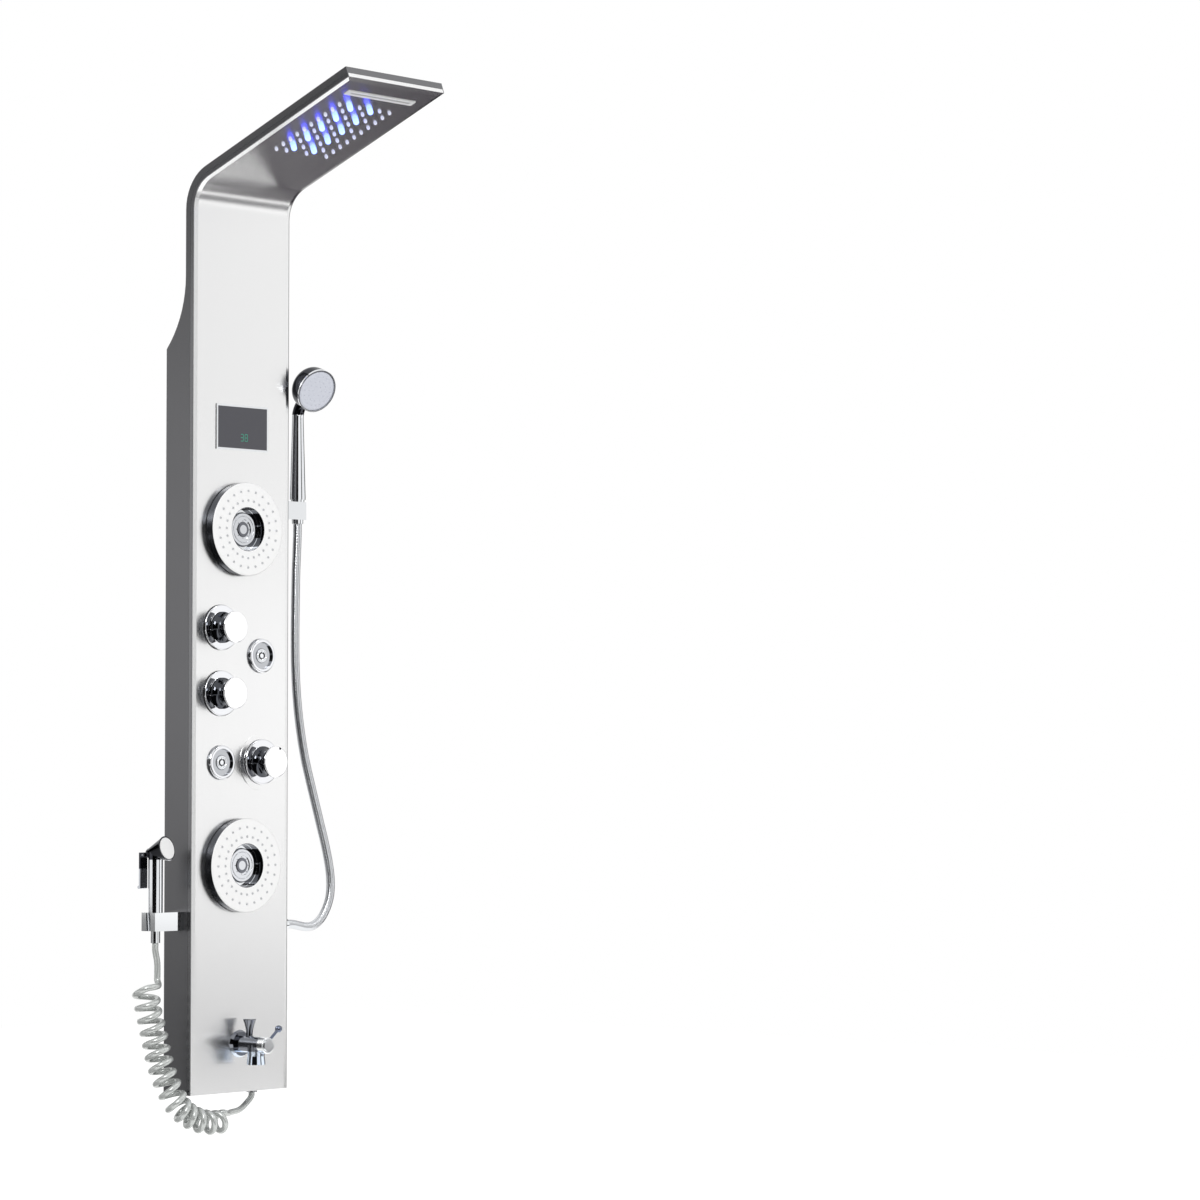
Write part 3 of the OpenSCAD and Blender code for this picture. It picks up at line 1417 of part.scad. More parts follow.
fascia();
rear_casing();
bottom_plate();
wall_brackets();
hanging_rails();
display_bezel();
display_glass();
display_module();
upper_jet_disc();
upper_jet_nozzles();
upper_jet_ball();
lower_jet_disc();
lower_jet_nozzles();
lower_jet_ball();
upper_side_jet();
upper_side_ball();
lower_side_jet();
lower_side_ball();
jet_lock_nuts();
knob_flanges();
upper_diverter_knob();
upper_diverter_spindle();
upper_diverter_valve();
lower_diverter_knob();
lower_diverter_spindle();
lower_diverter_valve();
mixer_escutcheon();
mixer_knob();
mixer_spindle();
mixer_valve();
rain_nozzles();
led_lenses();
led_board();
rain_chamber();
waterfall_spout();
generator_housing();
generator_rotor();
rain_riser();
body_riser();
branch_pipes();
handset_shell();
handset_ring();
handset_face();
handset_cone();
handset_holder();
shower_hose();
shower_hose_nut();
shower_outlet();
sprayer_body();
sprayer_face();
sprayer_trigger();
sprayer_pin();
sprayer_nut();
sprayer_holder();
coil_hose();
coil_outlet();
spout_body();
spout_diverter();
spout_lever();
spout_aerator();
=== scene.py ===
"""A wall-hung shower panel column: steel skin, rain head, body jets, knobs, hand shower, sprayer and spout."""

import math

import bmesh
import bpy
from mathutils import Matrix, Vector


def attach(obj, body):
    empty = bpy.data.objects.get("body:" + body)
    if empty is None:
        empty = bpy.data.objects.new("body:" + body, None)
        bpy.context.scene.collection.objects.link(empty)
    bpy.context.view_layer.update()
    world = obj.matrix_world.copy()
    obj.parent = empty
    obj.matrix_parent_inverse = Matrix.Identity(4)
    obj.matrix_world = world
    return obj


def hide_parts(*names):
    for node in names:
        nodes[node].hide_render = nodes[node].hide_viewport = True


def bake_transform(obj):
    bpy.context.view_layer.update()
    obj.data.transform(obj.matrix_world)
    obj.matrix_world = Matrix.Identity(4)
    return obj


MM = 0.001
# Height of the frame's origin over the foot of the column, in mm
ORIGIN_UP = 620.0

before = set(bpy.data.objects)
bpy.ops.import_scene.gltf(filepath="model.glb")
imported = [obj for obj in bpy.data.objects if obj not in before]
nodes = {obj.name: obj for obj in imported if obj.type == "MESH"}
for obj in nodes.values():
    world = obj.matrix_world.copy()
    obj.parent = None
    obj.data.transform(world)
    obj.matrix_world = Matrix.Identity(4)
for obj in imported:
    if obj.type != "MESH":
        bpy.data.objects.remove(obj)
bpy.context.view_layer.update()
bpy.context.scene.view_settings.view_transform = "Standard"


def point(x, y, up):
    """A point in metres from millimetres, with its height measured from the foot of the column."""
    return Vector((x * MM, y * MM, (up - ORIGIN_UP) * MM))


def linear(code):
    """Linear RGBA of an sRGB hex colour."""
    values = [int(code[i:i + 2], 16) / 255 for i in (1, 3, 5)]
    return [v / 12.92 if v <= 0.04045 else ((v + 0.055) / 1.055) ** 2.4 for v in values] + [1.0]


def placed(name, data):
    """A new object of the scene."""
    made = bpy.data.objects.new(name, data)
    bpy.context.scene.collection.objects.link(made)
    return made


# Camera

BEARING, PITCH = math.radians(47.5), math.radians(2.29)
camera_data = bpy.data.cameras.new("camera")
camera_data.lens = 117.5
camera_data.sensor_width = 36.0
camera_data.clip_end = 100.0
camera = placed("camera", camera_data)
bpy.context.scene.camera = camera
sight = Vector((math.sin(BEARING) * math.cos(PITCH), math.cos(BEARING) * math.cos(PITCH), math.sin(PITCH)))
camera.location = point(-4075, -4546, 514)
camera.rotation_euler = sight.to_track_quat("-Z", "Y").to_euler()


# Lines that the hoses follow

def curve_at(a, b, c, d, t):
    """Point of a smooth curve between b and c."""
    return 0.5 * (2 * b + (c - a) * t + (2 * a - 5 * b + 4 * c - d) * t * t + (3 * b - a - 3 * c + d) * t ** 3)


def smooth(knots, steps):
    """Smooth curve through every knot; steps is a number, or one for each pair."""
    line = []
    last = len(knots) - 1
    for i in range(last):
        count = steps[i] if isinstance(steps, list) else steps
        four = [knots[max(i - 1, 0)], knots[i], knots[i + 1], knots[min(i + 2, last)]]
        line += [curve_at(*four, k / count) for k in range(count)]
    return line + [knots[last]]


def length_of(line):
    """Length along a line of points."""
    return sum((b - a).length for a, b in zip(line, line[1:]))


def heading(line, i):
    """Direction of a line at one of its points."""
    return (line[min(i + 1, len(line) - 1)] - line[max(i - 1, 0)]).normalized()


def even(line, count):
    """The same line with points at even distances."""
    total, runs = 0.0, [0.0]
    for a, b in zip(line, line[1:]):
        total += (b - a).length
        runs.append(total)
    out, j = [], 0
    for i in range(count + 1):
        s = total * i / count
        while j < len(runs) - 2 and runs[j + 1] < s:
            j += 1
        t = (s - runs[j]) / (runs[j + 1] - runs[j])
        out.append(line[j].lerp(line[j + 1], min(t, 1.0)))
    return out


# Pieces

def finished(name, shape, material, body=None, smooth_angle=None):
    """A smooth-shaded piece from a bmesh, riding on a body where one is named."""
    mesh = bpy.data.meshes.new(name)
    bmesh.ops.recalc_face_normals(shape, faces=shape.faces)
    shape.to_mesh(mesh)
    shape.free()
    mesh.materials.append(material)
    piece = placed(name, mesh)
    mesh.shade_smooth()
    if smooth_angle is not None:
        mesh.set_sharp_from_angle(angle=math.radians(smooth_angle))
    if body:
        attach(piece, body)
    return piece


def hose(name, line, radii, sides, material):
    """A hose as rings round a line."""
    shape = bmesh.new()
    rings = []
    side = Vector((1, 0, 0))
    for i, p in enumerate(line):
        ahead = heading(line, i)
        side = (side - ahead * side.dot(ahead)).normalized()
        turned = Matrix((side, ahead.cross(side), ahead)).transposed().to_4x4()
        turned.translation = p
        made = bmesh.ops.create_circle(shape, cap_ends=False, radius=radii[i], segments=sides, matrix=turned)
        rings.append(made["verts"])
    for a, b in zip(rings, rings[1:]):
        for k in range(sides):
            shape.faces.new((a[k], a[(k + 1) % sides], b[(k + 1) % sides], b[k]))
    shape.faces.new(rings[0])
    shape.faces.new(rings[-1])
    piece = finished(name, shape, material)
    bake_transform(piece)
    return piece


# Materials

def node(tree, kind, settings=None, links=None):
    """Adds a shader node, sets its sockets and properties, and links its inputs."""
    made = tree.nodes.new(kind)
    for key, value in (settings or {}).items():
        if isinstance(key, int) or key in made.inputs:
            made.inputs[key].default_value = value
        else:
            setattr(made, key, value)
    for key, source in (links or {}).items():
        tree.links.new(source, made.inputs[key])
    return made


def finish_of(name, settings):
    """A new material and its shader."""
    made = bpy.data.materials.new(name)
    made.use_nodes = True
    shader = made.node_tree.nodes["Principled BSDF"]
    for key, value in settings.items():
        shader.inputs[key].default_value = value
    return made, made.node_tree, shader


def lit(material, colour, strength):
    """The same material with a glow of its own."""
    sockets = material.node_tree.nodes["Principled BSDF"].inputs
    sockets["Emission Color"].default_value = linear(colour)
    sockets["Emission Strength"].default_value = strength
    return material


# Brush lines about 0.8 mm apart and 120 mm long, drawn coarser than the real 0.1 mm so that they show
BRUSH_LINES = (1200.0, 8.0, 8.0)
BRUSH_HEIGHT = 0.0002
# The skin folds back past this distance from the column's middle
FOLD_X = 0.0985


def brushed_stainless(name, colour, rough, depth=0.006, fold_shade=None):
    """Sheet steel with fine long brush lines in roughness and height; the last argument is painted shade, a darker tone
    on its side folds.
    """
    made, tree, shader = finish_of(name, {"Base Color": linear(colour), "Metallic": 1.0, "Roughness": rough})
    place = node(tree, "ShaderNodeTexCoord")
    lines = node(tree, "ShaderNodeMapping", {"Scale": BRUSH_LINES}, {"Vector": place.outputs["Object"]})
    grain = node(tree, "ShaderNodeTexNoise", {"Scale": 1.0, "Detail": 2.0}, {"Vector": lines.outputs[0]})
    spread = node(tree, "ShaderNodeMapRange", {"To Min": rough - 0.02, "To Max": rough + 0.03},
                  {"Value": grain.outputs["Fac"]})
    tree.links.new(spread.outputs[0], shader.inputs["Roughness"])
    bump = node(tree, "ShaderNodeBump", {"Strength": depth, "Distance": BRUSH_HEIGHT},
                {"Height": grain.outputs["Fac"]})
    tree.links.new(bump.outputs[0], shader.inputs["Normal"])
    # Past FOLD_X the folded sides are given a darker tone: painted shade
    if fold_shade:
        part = node(tree, "ShaderNodeSeparateXYZ", links={0: place.outputs["Object"]})
        aside = node(tree, "ShaderNodeMath", {"operation": "ABSOLUTE"}, {0: part.outputs["X"]})
        side = node(tree, "ShaderNodeMath", {"operation": "GREATER_THAN", 1: FOLD_X}, {0: aside.outputs[0]})
        tone = node(tree, "ShaderNodeMix", {"data_type": "RGBA", 6: linear(colour), 7: linear(fold_shade)},
                    {0: side.outputs[0]})
        tree.links.new(tone.outputs[2], shader.inputs["Base Color"])
    return made


# Grit of moulded plastic about 1 mm apart, and its height
GRIT = 900.0
GRIT_HEIGHT = 0.0001
# Slow waves of plating, about 3 mm apart
PLATING_WAVES = 300.0


def moulded(name, colour, rough, metallic=0.0, grit=GRIT, depth=0.05, vary=0.04, ior=1.5):
    """Plastic, rubber, cast or plated surface with a fine even grit."""
    made, tree, shader = finish_of(
        name, {"Base Color": linear(colour), "Metallic": metallic, "Roughness": rough, "IOR": ior})
    place = node(tree, "ShaderNodeTexCoord")
    grain = node(tree, "ShaderNodeTexNoise", {"Scale": grit, "Detail": 3.0}, {"Vector": place.outputs["Object"]})
    spread = node(tree, "ShaderNodeMapRange", {"To Min": rough, "To Max": rough + vary},
                  {"Value": grain.outputs["Fac"]})
    tree.links.new(spread.outputs[0], shader.inputs["Roughness"])
    bump = node(tree, "ShaderNodeBump", {"Strength": depth, "Distance": GRIT_HEIGHT},
                {"Height": grain.outputs["Fac"]})
    tree.links.new(bump.outputs[0], shader.inputs["Normal"])
    return made


# Depths of a large jet: its white face lies in front of the first, and the seat of its ball behind the second
FACE_Y = -0.0755
SEAT_Y = -0.0638
# Radius in mm of the recess round its ball
DISC_HOLE_R = 34
# The chrome of the rim and recess is painted dark as painted reflection; the face is white ABS and the seat bright
# chrome
PAINTED_DARK_CHROME, FACE_WHITE, SEAT_CHROME = "#55575C", "#F0F0F0", "#DDDFE2"


def faced(name, axis_up):
    """White moulded face, with chrome on the disc's rim and in the recess round its ball nozzle, painted dark as
    painted reflection except on the seat.
    """
    made, tree, shader = finish_of(name, {})
    place = node(tree, "ShaderNodeTexCoord")
    centred = node(tree, "ShaderNodeVectorMath", {"operation": "SUBTRACT", 1: (0, 0, axis_up * MM)},
                   {0: place.outputs["Object"]})
    part = node(tree, "ShaderNodeSeparateXYZ", links={0: centred.outputs[0]})
    flat = node(tree, "ShaderNodeVectorMath", {"operation": "MULTIPLY", 1: (1, 0, 1)}, {0: centred.outputs[0]})
    out = node(tree, "ShaderNodeVectorMath", {"operation": "LENGTH"}, {0: flat.outputs[0]})
    in_front = node(tree, "ShaderNodeMath", {"operation": "LESS_THAN", 1: FACE_Y}, {0: part.outputs["Y"]})
    past_hole = node(tree, "ShaderNodeMath", {"operation": "GREATER_THAN", 1: DISC_HOLE_R * MM},
                     {0: out.outputs["Value"]})
    white = node(tree, "ShaderNodeMath", {"operation": "MULTIPLY"}, {0: in_front.outputs[0], 1: past_hole.outputs[0]})
    colour = node(tree, "ShaderNodeMix", {"data_type": "RGBA", 6: linear(PAINTED_DARK_CHROME), 7: linear(FACE_WHITE)},
                  {0: white.outputs[0]})
    low = node(tree, "ShaderNodeMath", {"operation": "GREATER_THAN", 1: SEAT_Y}, {0: part.outputs["Y"]})
    in_hole = node(tree, "ShaderNodeMath", {"operation": "SUBTRACT", 0: 1.0}, {1: past_hole.outputs[0]})
    seat = node(tree, "ShaderNodeMath", {"operation": "MULTIPLY"}, {0: low.outputs[0], 1: in_hole.outputs[0]})
    colour = node(tree, "ShaderNodeMix", {"data_type": "RGBA", 7: linear(SEAT_CHROME)},
                  {0: seat.outputs[0], 6: colour.outputs[2]})
    metal = node(tree, "ShaderNodeMath", {"operation": "SUBTRACT", 0: 1.0}, {1: white.outputs[0]})
    grain = node(tree, "ShaderNodeTexNoise", {"Scale": GRIT, "Detail": 3.0}, {"Vector": place.outputs["Object"]})
    # Roughness 0.07 on the chrome and 0.31 on the white
    rough = node(tree, "ShaderNodeMath", {"operation": "MULTIPLY_ADD", 1: 0.24, 2: 0.07}, {0: white.outputs[0]})
    bump = node(tree, "ShaderNodeBump", {"Strength": 0.03, "Distance": GRIT_HEIGHT}, {"Height": grain.outputs["Fac"]})
    for key, source in (("Base Color", colour.outputs[2]), ("Metallic", metal.outputs[0]),
                        ("Roughness", rough.outputs[0]), ("Normal", bump.outputs[0])):
        tree.links.new(source, shader.inputs[key])
    return made


def plated(name, toward, edge, low, high, rough=0.06, rings=()):
    """Chrome plate with painted light: a painted highlight tone and a painted dark reflection tone meet at a place in
    mm along a direction; rings are x, up, radii and tone.
    """
    made, tree, shader = finish_of(name, {"Metallic": 1.0, "Roughness": rough})
    place = node(tree, "ShaderNodeTexCoord")
    along = node(tree, "ShaderNodeVectorMath", {"operation": "DOT_PRODUCT", 1: toward}, {0: place.outputs["Object"]})
    above = node(tree, "ShaderNodeMath", {"operation": "GREATER_THAN", 1: edge * MM}, {0: along.outputs["Value"]})
    colour = node(tree, "ShaderNodeMix", {"data_type": "RGBA", 6: linear(low), 7: linear(high)},
                  {0: above.outputs[0]})
    for x, up, inner, outer, tone in rings:
        level = node(tree, "ShaderNodeVectorMath", {"operation": "MULTIPLY", 1: (1, 0, 1)},
                     {0: place.outputs["Object"]})
        away = node(tree, "ShaderNodeVectorMath", {"operation": "DISTANCE", 1: (x * MM, 0, up * MM)},
                    {0: level.outputs[0]})
        middle, half_width = (inner + outer) / 2 * MM, (outer - inner) / 2 * MM
        within = node(tree, "ShaderNodeMath", {"operation": "COMPARE", 1: middle, 2: half_width},
                      {0: away.outputs["Value"]})
        colour = node(tree, "ShaderNodeMix", {"data_type": "RGBA", 7: linear(tone)},
                      {0: within.outputs[0], 6: colour.outputs[2]})
    tree.links.new(colour.outputs[2], shader.inputs["Base Color"])
    grain = node(tree, "ShaderNodeTexNoise", {"Scale": PLATING_WAVES, "Detail": 2.0},
                 {"Vector": place.outputs["Object"]})
    spread = node(tree, "ShaderNodeMapRange", {"To Min": rough, "To Max": rough + 0.02},
                  {"Value": grain.outputs["Fac"]})
    tree.links.new(spread.outputs[0], shader.inputs["Roughness"])
    return made


# Front skin: pale satin steel that blurs what it shows, with its folded sides painted greyer as painted shade
steel_front = brushed_stainless("brushed stainless sheet", "#EFEFEF", 0.25, fold_shade="#7E7E80")
# Rear casing: the same steel painted darker as painted shade, a flat mid grey with a dull sheen
steel_side = brushed_stainless("casing steel with painted shade", "#757577", 0.34)
# Wall brackets, rails and pin: dull pale grey with a faint bloom
zinc = moulded("zinc plated steel", "#A9ACAE", 0.42, 1.0)
# Bright trim: a mirror with the least waviness of plating
chrome = moulded("bright chrome plate", "#E6E8EA", 0.06, 1.0, PLATING_WAVES, 0.01, 0.02)
# White trim: smooth moulded ABS, grit about 1 mm, with a soft highlight
white_trim = moulded("white moulded ABS", "#ECECEC", 0.28, ior=1.53)
# Jet nozzles: matt grey rubber, a little softer than the white round it
silicone = moulded("grey silicone rubber", "#C4C6C8", 0.5, ior=1.41)
# Rain nozzles: milky rubber with a faint painted glow standing in for the light of the lamps behind it
white_silicone = lit(moulded("milky silicone rubber with painted glow", "#F6F6F6", 0.45, ior=1.41), "#BFC8FF", 0.25)
# Valves, spindles and lock nuts: turned brass, yellow and half bright
brass = moulded("turned brass", "#B9965A", 0.32, 1.0)
# Electronics box and generator: black ABS with a fine moulded grit
black_plastic = moulded("black moulded ABS", "#17181A", 0.42, ior=1.53)
# Display window: smoked acrylic, dark grey and glossy
smoked_window = moulded("smoked acrylic window", "#45454B", 0.08, 0.0, 200.0, 0.0, 0.01, ior=1.49)
# Hand shower's spray face and the water chamber: pale bluish grey ABS
pale_plastic = moulded("pale grey moulded ABS", "#CDD0DA", 0.22, ior=1.53)
# Lamp board: green solder mask, slightly glossy
board = moulded("green circuit board", "#1D5A34", 0.35)
# Inner pipes: drawn steel tube, grey with a long soft highlight
pipe_steel = moulded("drawn steel tube", "#B4B5B7", 0.3, 1.0)
# Shower hose: wound stainless strip, bright along its middle and dark at its edges
hose_metal = moulded("wound metal hose", "#D4D6D9", 0.22, 1.0, 500.0, 0.02)
# Coiled hose: silvered PVC, light grey with broad white highlights
hose_silver = moulded("silvered PVC hose", "#C4C7C5", 0.24, 0.45, 400.0, 0.02, ior=1.53)

# Plated pieces with painted light: fronts painted white as a painted highlight, and sides painted dark as painted
# reflection of the dark of the room
BACK, UP = (0, 1, 0), (0, 0, 1)
HEAD_TILT, LEVER_LEAN = math.radians(24.5), math.radians(49)
SPRAY_BACK = (0, math.cos(HEAD_TILT), math.sin(HEAD_TILT))
LEVER_OUT = (math.sin(LEVER_LEAN), 0, math.cos(LEVER_LEAN))
# Heights of the two large jets over the frame's origin
UPPER_JET_UP, LOWER_JET_UP = 244, -273
# Knobs: a painted highlight on the front and painted dark reflection on the waist
PAINTED_BRIGHT_FRONT, PAINTED_DARK_WAIST = "#FBFBFC", "#4C4E53"
DEEP_SHADE, GREY_SHADE = "#2E2F33", "#3C3D42"
# Ball nozzles: a grey front with a ring of painted dark reflection round the outlet, and a smaller ring on the small
# ball nozzles
BALL_GREY, PAINTED_BALL_RING = "#D2D4D8", "#6E7076"
PAINTED_SMALL_RING = (3.6, 5.4, "#3A3B3F")
knob_chrome = plated("chrome plated knob", BACK, -95.5, PAINTED_BRIGHT_FRONT, PAINTED_DARK_WAIST)
# The mixer's knob has a small dark dot on its front
mixer_chrome = plated("chrome plated mixer knob", BACK, -95.5, PAINTED_BRIGHT_FRONT, PAINTED_DARK_WAIST,
                      rings=[(50, -93.5, 0, 2.2, "#1C1D20")])
flange_chrome = plated("chrome plated flange", BACK, -64.4, "#E4E5E8", DEEP_SHADE)
upper_ball_chrome = plated("upper ball nozzle chrome", BACK, -61.8, BALL_GREY, DEEP_SHADE,
                           rings=[(0, UPPER_JET_UP, 7, 12, PAINTED_BALL_RING)])
lower_ball_chrome = plated("lower ball nozzle chrome", BACK, -61.8, BALL_GREY, DEEP_SHADE,
                           rings=[(0, LOWER_JET_UP, 7, 12, PAINTED_BALL_RING)])
# Side jets: the rear part painted a darker grey as painted shade
side_jet_chrome = plated("chrome plated side jet", BACK, -65.6, "#E6E7EA", "#B4B6BA")
side_ball_chrome = plated("chrome plated small ball nozzle", BACK, -62.2, "#E4E6E9", DEEP_SHADE,
                          rings=[(41, 50, *PAINTED_SMALL_RING), (-41, -115, *PAINTED_SMALL_RING)])
# Hand shower, selector ring, sprayer, trigger and spout: a bright painted highlight tone on one side of the edge and a
# painted dark reflection tone on the other; the spout's mouth is painted pale blue as painted reflection
handset_chrome = plated("chrome plated hand shower", UP, 432, "#E9EBEE", GREY_SHADE)
ring_chrome = plated("chrome plated selector ring", SPRAY_BACK, 122, "#E9EBEE", GREY_SHADE)
sprayer_chrome = plated("chrome plated sprayer", UP, -262, "#E6E8EB", GREY_SHADE)
trigger_chrome = plated("chrome plated trigger", UP, -276, "#C6C9CF", GREY_SHADE)
spout_chrome = plated("chrome plated spout casting", UP, -556, "#DCE6F4", "#7C7F86")
# Spout's lever: its hub's front is painted bright as a painted highlight, and the thin rod and ball are painted the
# blue grey of the room as painted reflection
lever_chrome = plated("chrome plated lever", LEVER_OUT, -344.5, "#F2F4F6", "#747B8C", 0.1)
# Large jets: a glossy white ABS face, with the chrome on the rim and in the recess painted dark as painted reflection
upper_disc_finish = faced("upper jet disc, white ABS in chrome", UPPER_JET_UP)
lower_disc_finish = faced("lower jet disc, white ABS in chrome", LOWER_JET_UP)
# Lamp lenses: clear blue-white domes that glow
lens = lit(finish_of("blue lamp lens", {"Base Color": linear("#BCD2FF"), "Roughness": 0.15})[0], "#7F9BFF", 1.9)
# Digits: green segments behind the window, dimly lit
digit_glow = lit(finish_of("green lit display digits", {"Base Color": linear("#2A7A66"), "Roughness": 0.4})[0],
                 "#35B090", 0.2)

looks = [
    (steel_front, "fascia mixer_escutcheon"),
    (steel_side, "rear_casing bottom_plate"),
    (zinc, "wall_brackets hanging_rails sprayer_pin"),
    (chrome, "display_bezel handset_cone handset_holder shower_hose_nut shower_outlet sprayer_nut sprayer_holder"),
    (chrome, "coil_outlet"),
    (smoked_window, "display_glass"),
    (black_plastic, "display_module generator_housing"),
    (upper_disc_finish, "upper_jet_disc"),
    (lower_disc_finish, "lower_jet_disc"),
    (silicone, "upper_jet_nozzles lower_jet_nozzles"),
    (upper_ball_chrome, "upper_jet_ball"),
    (lower_ball_chrome, "lower_jet_ball"),
    (side_jet_chrome, "upper_side_jet lower_side_jet"),
    (side_ball_chrome, "upper_side_ball lower_side_ball"),
    (brass, "jet_lock_nuts upper_diverter_spindle upper_diverter_valve lower_diverter_spindle"),
    (brass, "lower_diverter_valve mixer_spindle mixer_valve"),
    (flange_chrome, "knob_flanges"),
    (knob_chrome, "upper_diverter_knob lower_diverter_knob"),
    (mixer_chrome, "mixer_knob"),
    (white_silicone, "rain_nozzles"),
    (lens, "led_lenses"),
    (board, "led_board"),
    (pale_plastic, "rain_chamber handset_face"),
    (white_trim, "waterfall_spout generator_rotor sprayer_face"),
    (pipe_steel, "rain_riser body_riser branch_pipes"),
    (handset_chrome, "handset_shell"),
    (ring_chrome, "handset_ring"),
    (hose_metal, "shower_hose"),
    (hose_silver, "coil_hose"),
    (sprayer_chrome, "sprayer_body"),
    (trigger_chrome, "sprayer_trigger"),
    (spout_chrome, "spout_body spout_diverter spout_aerator"),
    (lever_chrome, "spout_lever"),
]
for material, names in looks:
    for name in names.split():
        nodes[name].data.materials.clear()
        nodes[name].data.materials.append(material)


# Hand shower's hose

# Route from the hand shower's cone to the side outlet
HOSE_ROUTE = [
    (143, -34.5, 879.7), (143, -34.5, 866), (142.7, -34, 846), (141.5, -33, 800), (141, -32.5, 750),
    (141, -32, 700), (142.5, -31.5, 650), (146.5, -31, 605), (153.5, -30.5, 560), (164.5, -30, 512),
    (179.5, -30, 464), (196, -30, 414), (211.5, -30, 366), (220.5, -30, 325), (219, -30, 291), (204.5, -30, 263),
    (186, -30, 249), (168, -30, 246.5), (152, -30, 249), (138, -30, 251.6), (126.3, -30, 252),
]
HOSE_RADIUS = 0.0070
# The wound strip shows a rib every 2.4 mm, 0.3 mm deep
RIB_PITCH, RIB_DEPTH = 0.0024, 0.0003
RIB_SHAPE = (0.0, 0.35, 1.0, 0.35)
HOSE_STEPS, HOSE_SIDES = 6, 20

hose_line = smooth([point(*p) for p in HOSE_ROUTE], HOSE_STEPS)
hose_length = length_of(hose_line)
hose_rings = even(hose_line, len(RIB_SHAPE) * int(hose_length / RIB_PITCH))
hose_radii = [HOSE_RADIUS - RIB_DEPTH * RIB_SHAPE[i % len(RIB_SHAPE)] for i in range(len(hose_rings))]
shower_hose = hose("wound_shower_hose", hose_rings, hose_radii, HOSE_SIDES, hose_metal)
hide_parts("shower_hose")


# Sprayer's coiled hose

# Knots of its axis: place, radius of the curl and turns made so far
COIL_KNOTS = [
    (-143.8, -30, 231.7, 0, 0), (-143.8, -30, 220, 0, 0), (-143.5, -29.5, 203, 4, 0), (-147.5, -28.5, 189, 10, 0),
    (-152.5, -27, 177, 15, 0.05), (-156, -26, 165.5, 16.5, 0.3), (-157.5, -26, 153.8, 17, 0.618),
    (-155, -26, 135.3, 16, 1.618), (-150.5, -27, 116.8, 16.4, 2.618), (-146.5, -29, 98.3, 16.7, 3.618),
    (-143.5, -31.5, 79.8, 16.7, 4.618), (-141.5, -35, 61.3, 16.7, 5.618), (-138.5, -39.5, 42.8, 16.7, 6.618),
    (-134.5, -44.5, 24.3, 16.5, 7.618), (-128, -49.5, 6, 16.3, 8.618), (-119.8, -54, -12, 16, 9.618),
    (-108.7, -57, -24, 15.3, 10.618), (-95, -60, -33, 15, 11.618), (-77.5, -61.5, -39.5, 14.7, 12.618),
    (-56, -61, -43, 14.3, 13.618), (-33, -57, -43, 13.8, 14.618), (-24.5, -54.5, -42, 12.5, 15),
    (-14, -51, -38.5, 7, 15), (-2, -46, -33, 1.5, 15), (21, -39, -29.5, 0, 15), (41, -33, -21, 0, 15),
    (52.8, -30.2, -12.5, 0, 15), (54, -30, -5.7, 0, 15),
]
COIL_TUBE_RADIUS = 0.00475
COIL_RINGS, COIL_SIDES = 640, 16
STEPS_PER_TURN, FEWEST_STEPS = 24, 9


def coil_points(knots):
    """The hose's centreline: a helix round the smooth axis through the knots."""
    steps = [max(FEWEST_STEPS, math.ceil(STEPS_PER_TURN * (b[4] - a[4]))) for a, b in zip(knots, knots[1:])]
    axis = smooth([Vector(k[:3]) for k in knots], steps)
    curls = smooth([Vector((k[3], k[4], 0)) for k in knots], steps)
    line = []
    for i, p in enumerate(axis):
        radius, turns = curls[i][0], curls[i][1]
        ahead = heading(axis, i)
        first = Vector((0, 1, 0)).cross(-ahead).normalized()
        angle = 2 * math.pi * turns
        line.append(p + radius * (math.cos(angle) * first + math.sin(angle) * ahead.cross(first)))
    return [point(*p) for p in line]


coil_line = coil_points(COIL_KNOTS)
coil_rings = even(coil_line, COIL_RINGS)
coil_hose = hose("coiled_sprayer_hose", coil_rings, [COIL_TUBE_RADIUS] * len(coil_rings), COIL_SIDES, hose_silver)
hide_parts("coil_hose")


# Digits of the display, 11 mm high

# Each segment: its place across and up in half digits, and whether it lies flat
SEGMENTS = {
    "top": (0, 1, True), "upper_right": (1, 0.5, False), "lower_right": (1, -0.5, False), "foot": (0, -1, True),
    "lower_left": (-1, -0.5, False), "upper_left": (-1, 0.5, False), "middle": (0, 0, True),
}
LIT = {"3": ["top", "upper_right", "lower_right", "foot", "middle"], "8": list(SEGMENTS)}
# In mm: a flat and an upright bar, half a digit's width and height, and where the digits stand
FLAT_BAR, UPRIGHT_BAR = (5.0, 0.5, 1.1), (1.1, 0.5, 4.6)
HALF_W, HALF_H = 2.6, 5.2
DIGIT_PLACES = ((-1.0, "3"), (7.5, "8"))
DIGITS_UP, DIGITS_Y = 386, -0.0634

shape = bmesh.new()
for at, figure in DIGIT_PLACES:
    for across, up, flat in [SEGMENTS[part] for part in LIT[figure]]:
        bar = bmesh.ops.create_cube(shape, size=1.0)["verts"]
        bmesh.ops.scale(shape, vec=[side * MM for side in (FLAT_BAR if flat else UPRIGHT_BAR)], verts=bar)
        spot = ((at + HALF_W * across) * MM, DIGITS_Y, (DIGITS_UP + HALF_H * up) * MM)
        bmesh.ops.translate(shape, vec=spot, verts=bar)
finished("display_digits", shape, digit_glow, "panel", 30)


# Stage

def empty_material(name):
    """A new material without nodes, and its tree."""
    made = bpy.data.materials.new(name)
    made.use_nodes = True
    made.node_tree.nodes.clear()
    return made, made.node_tree


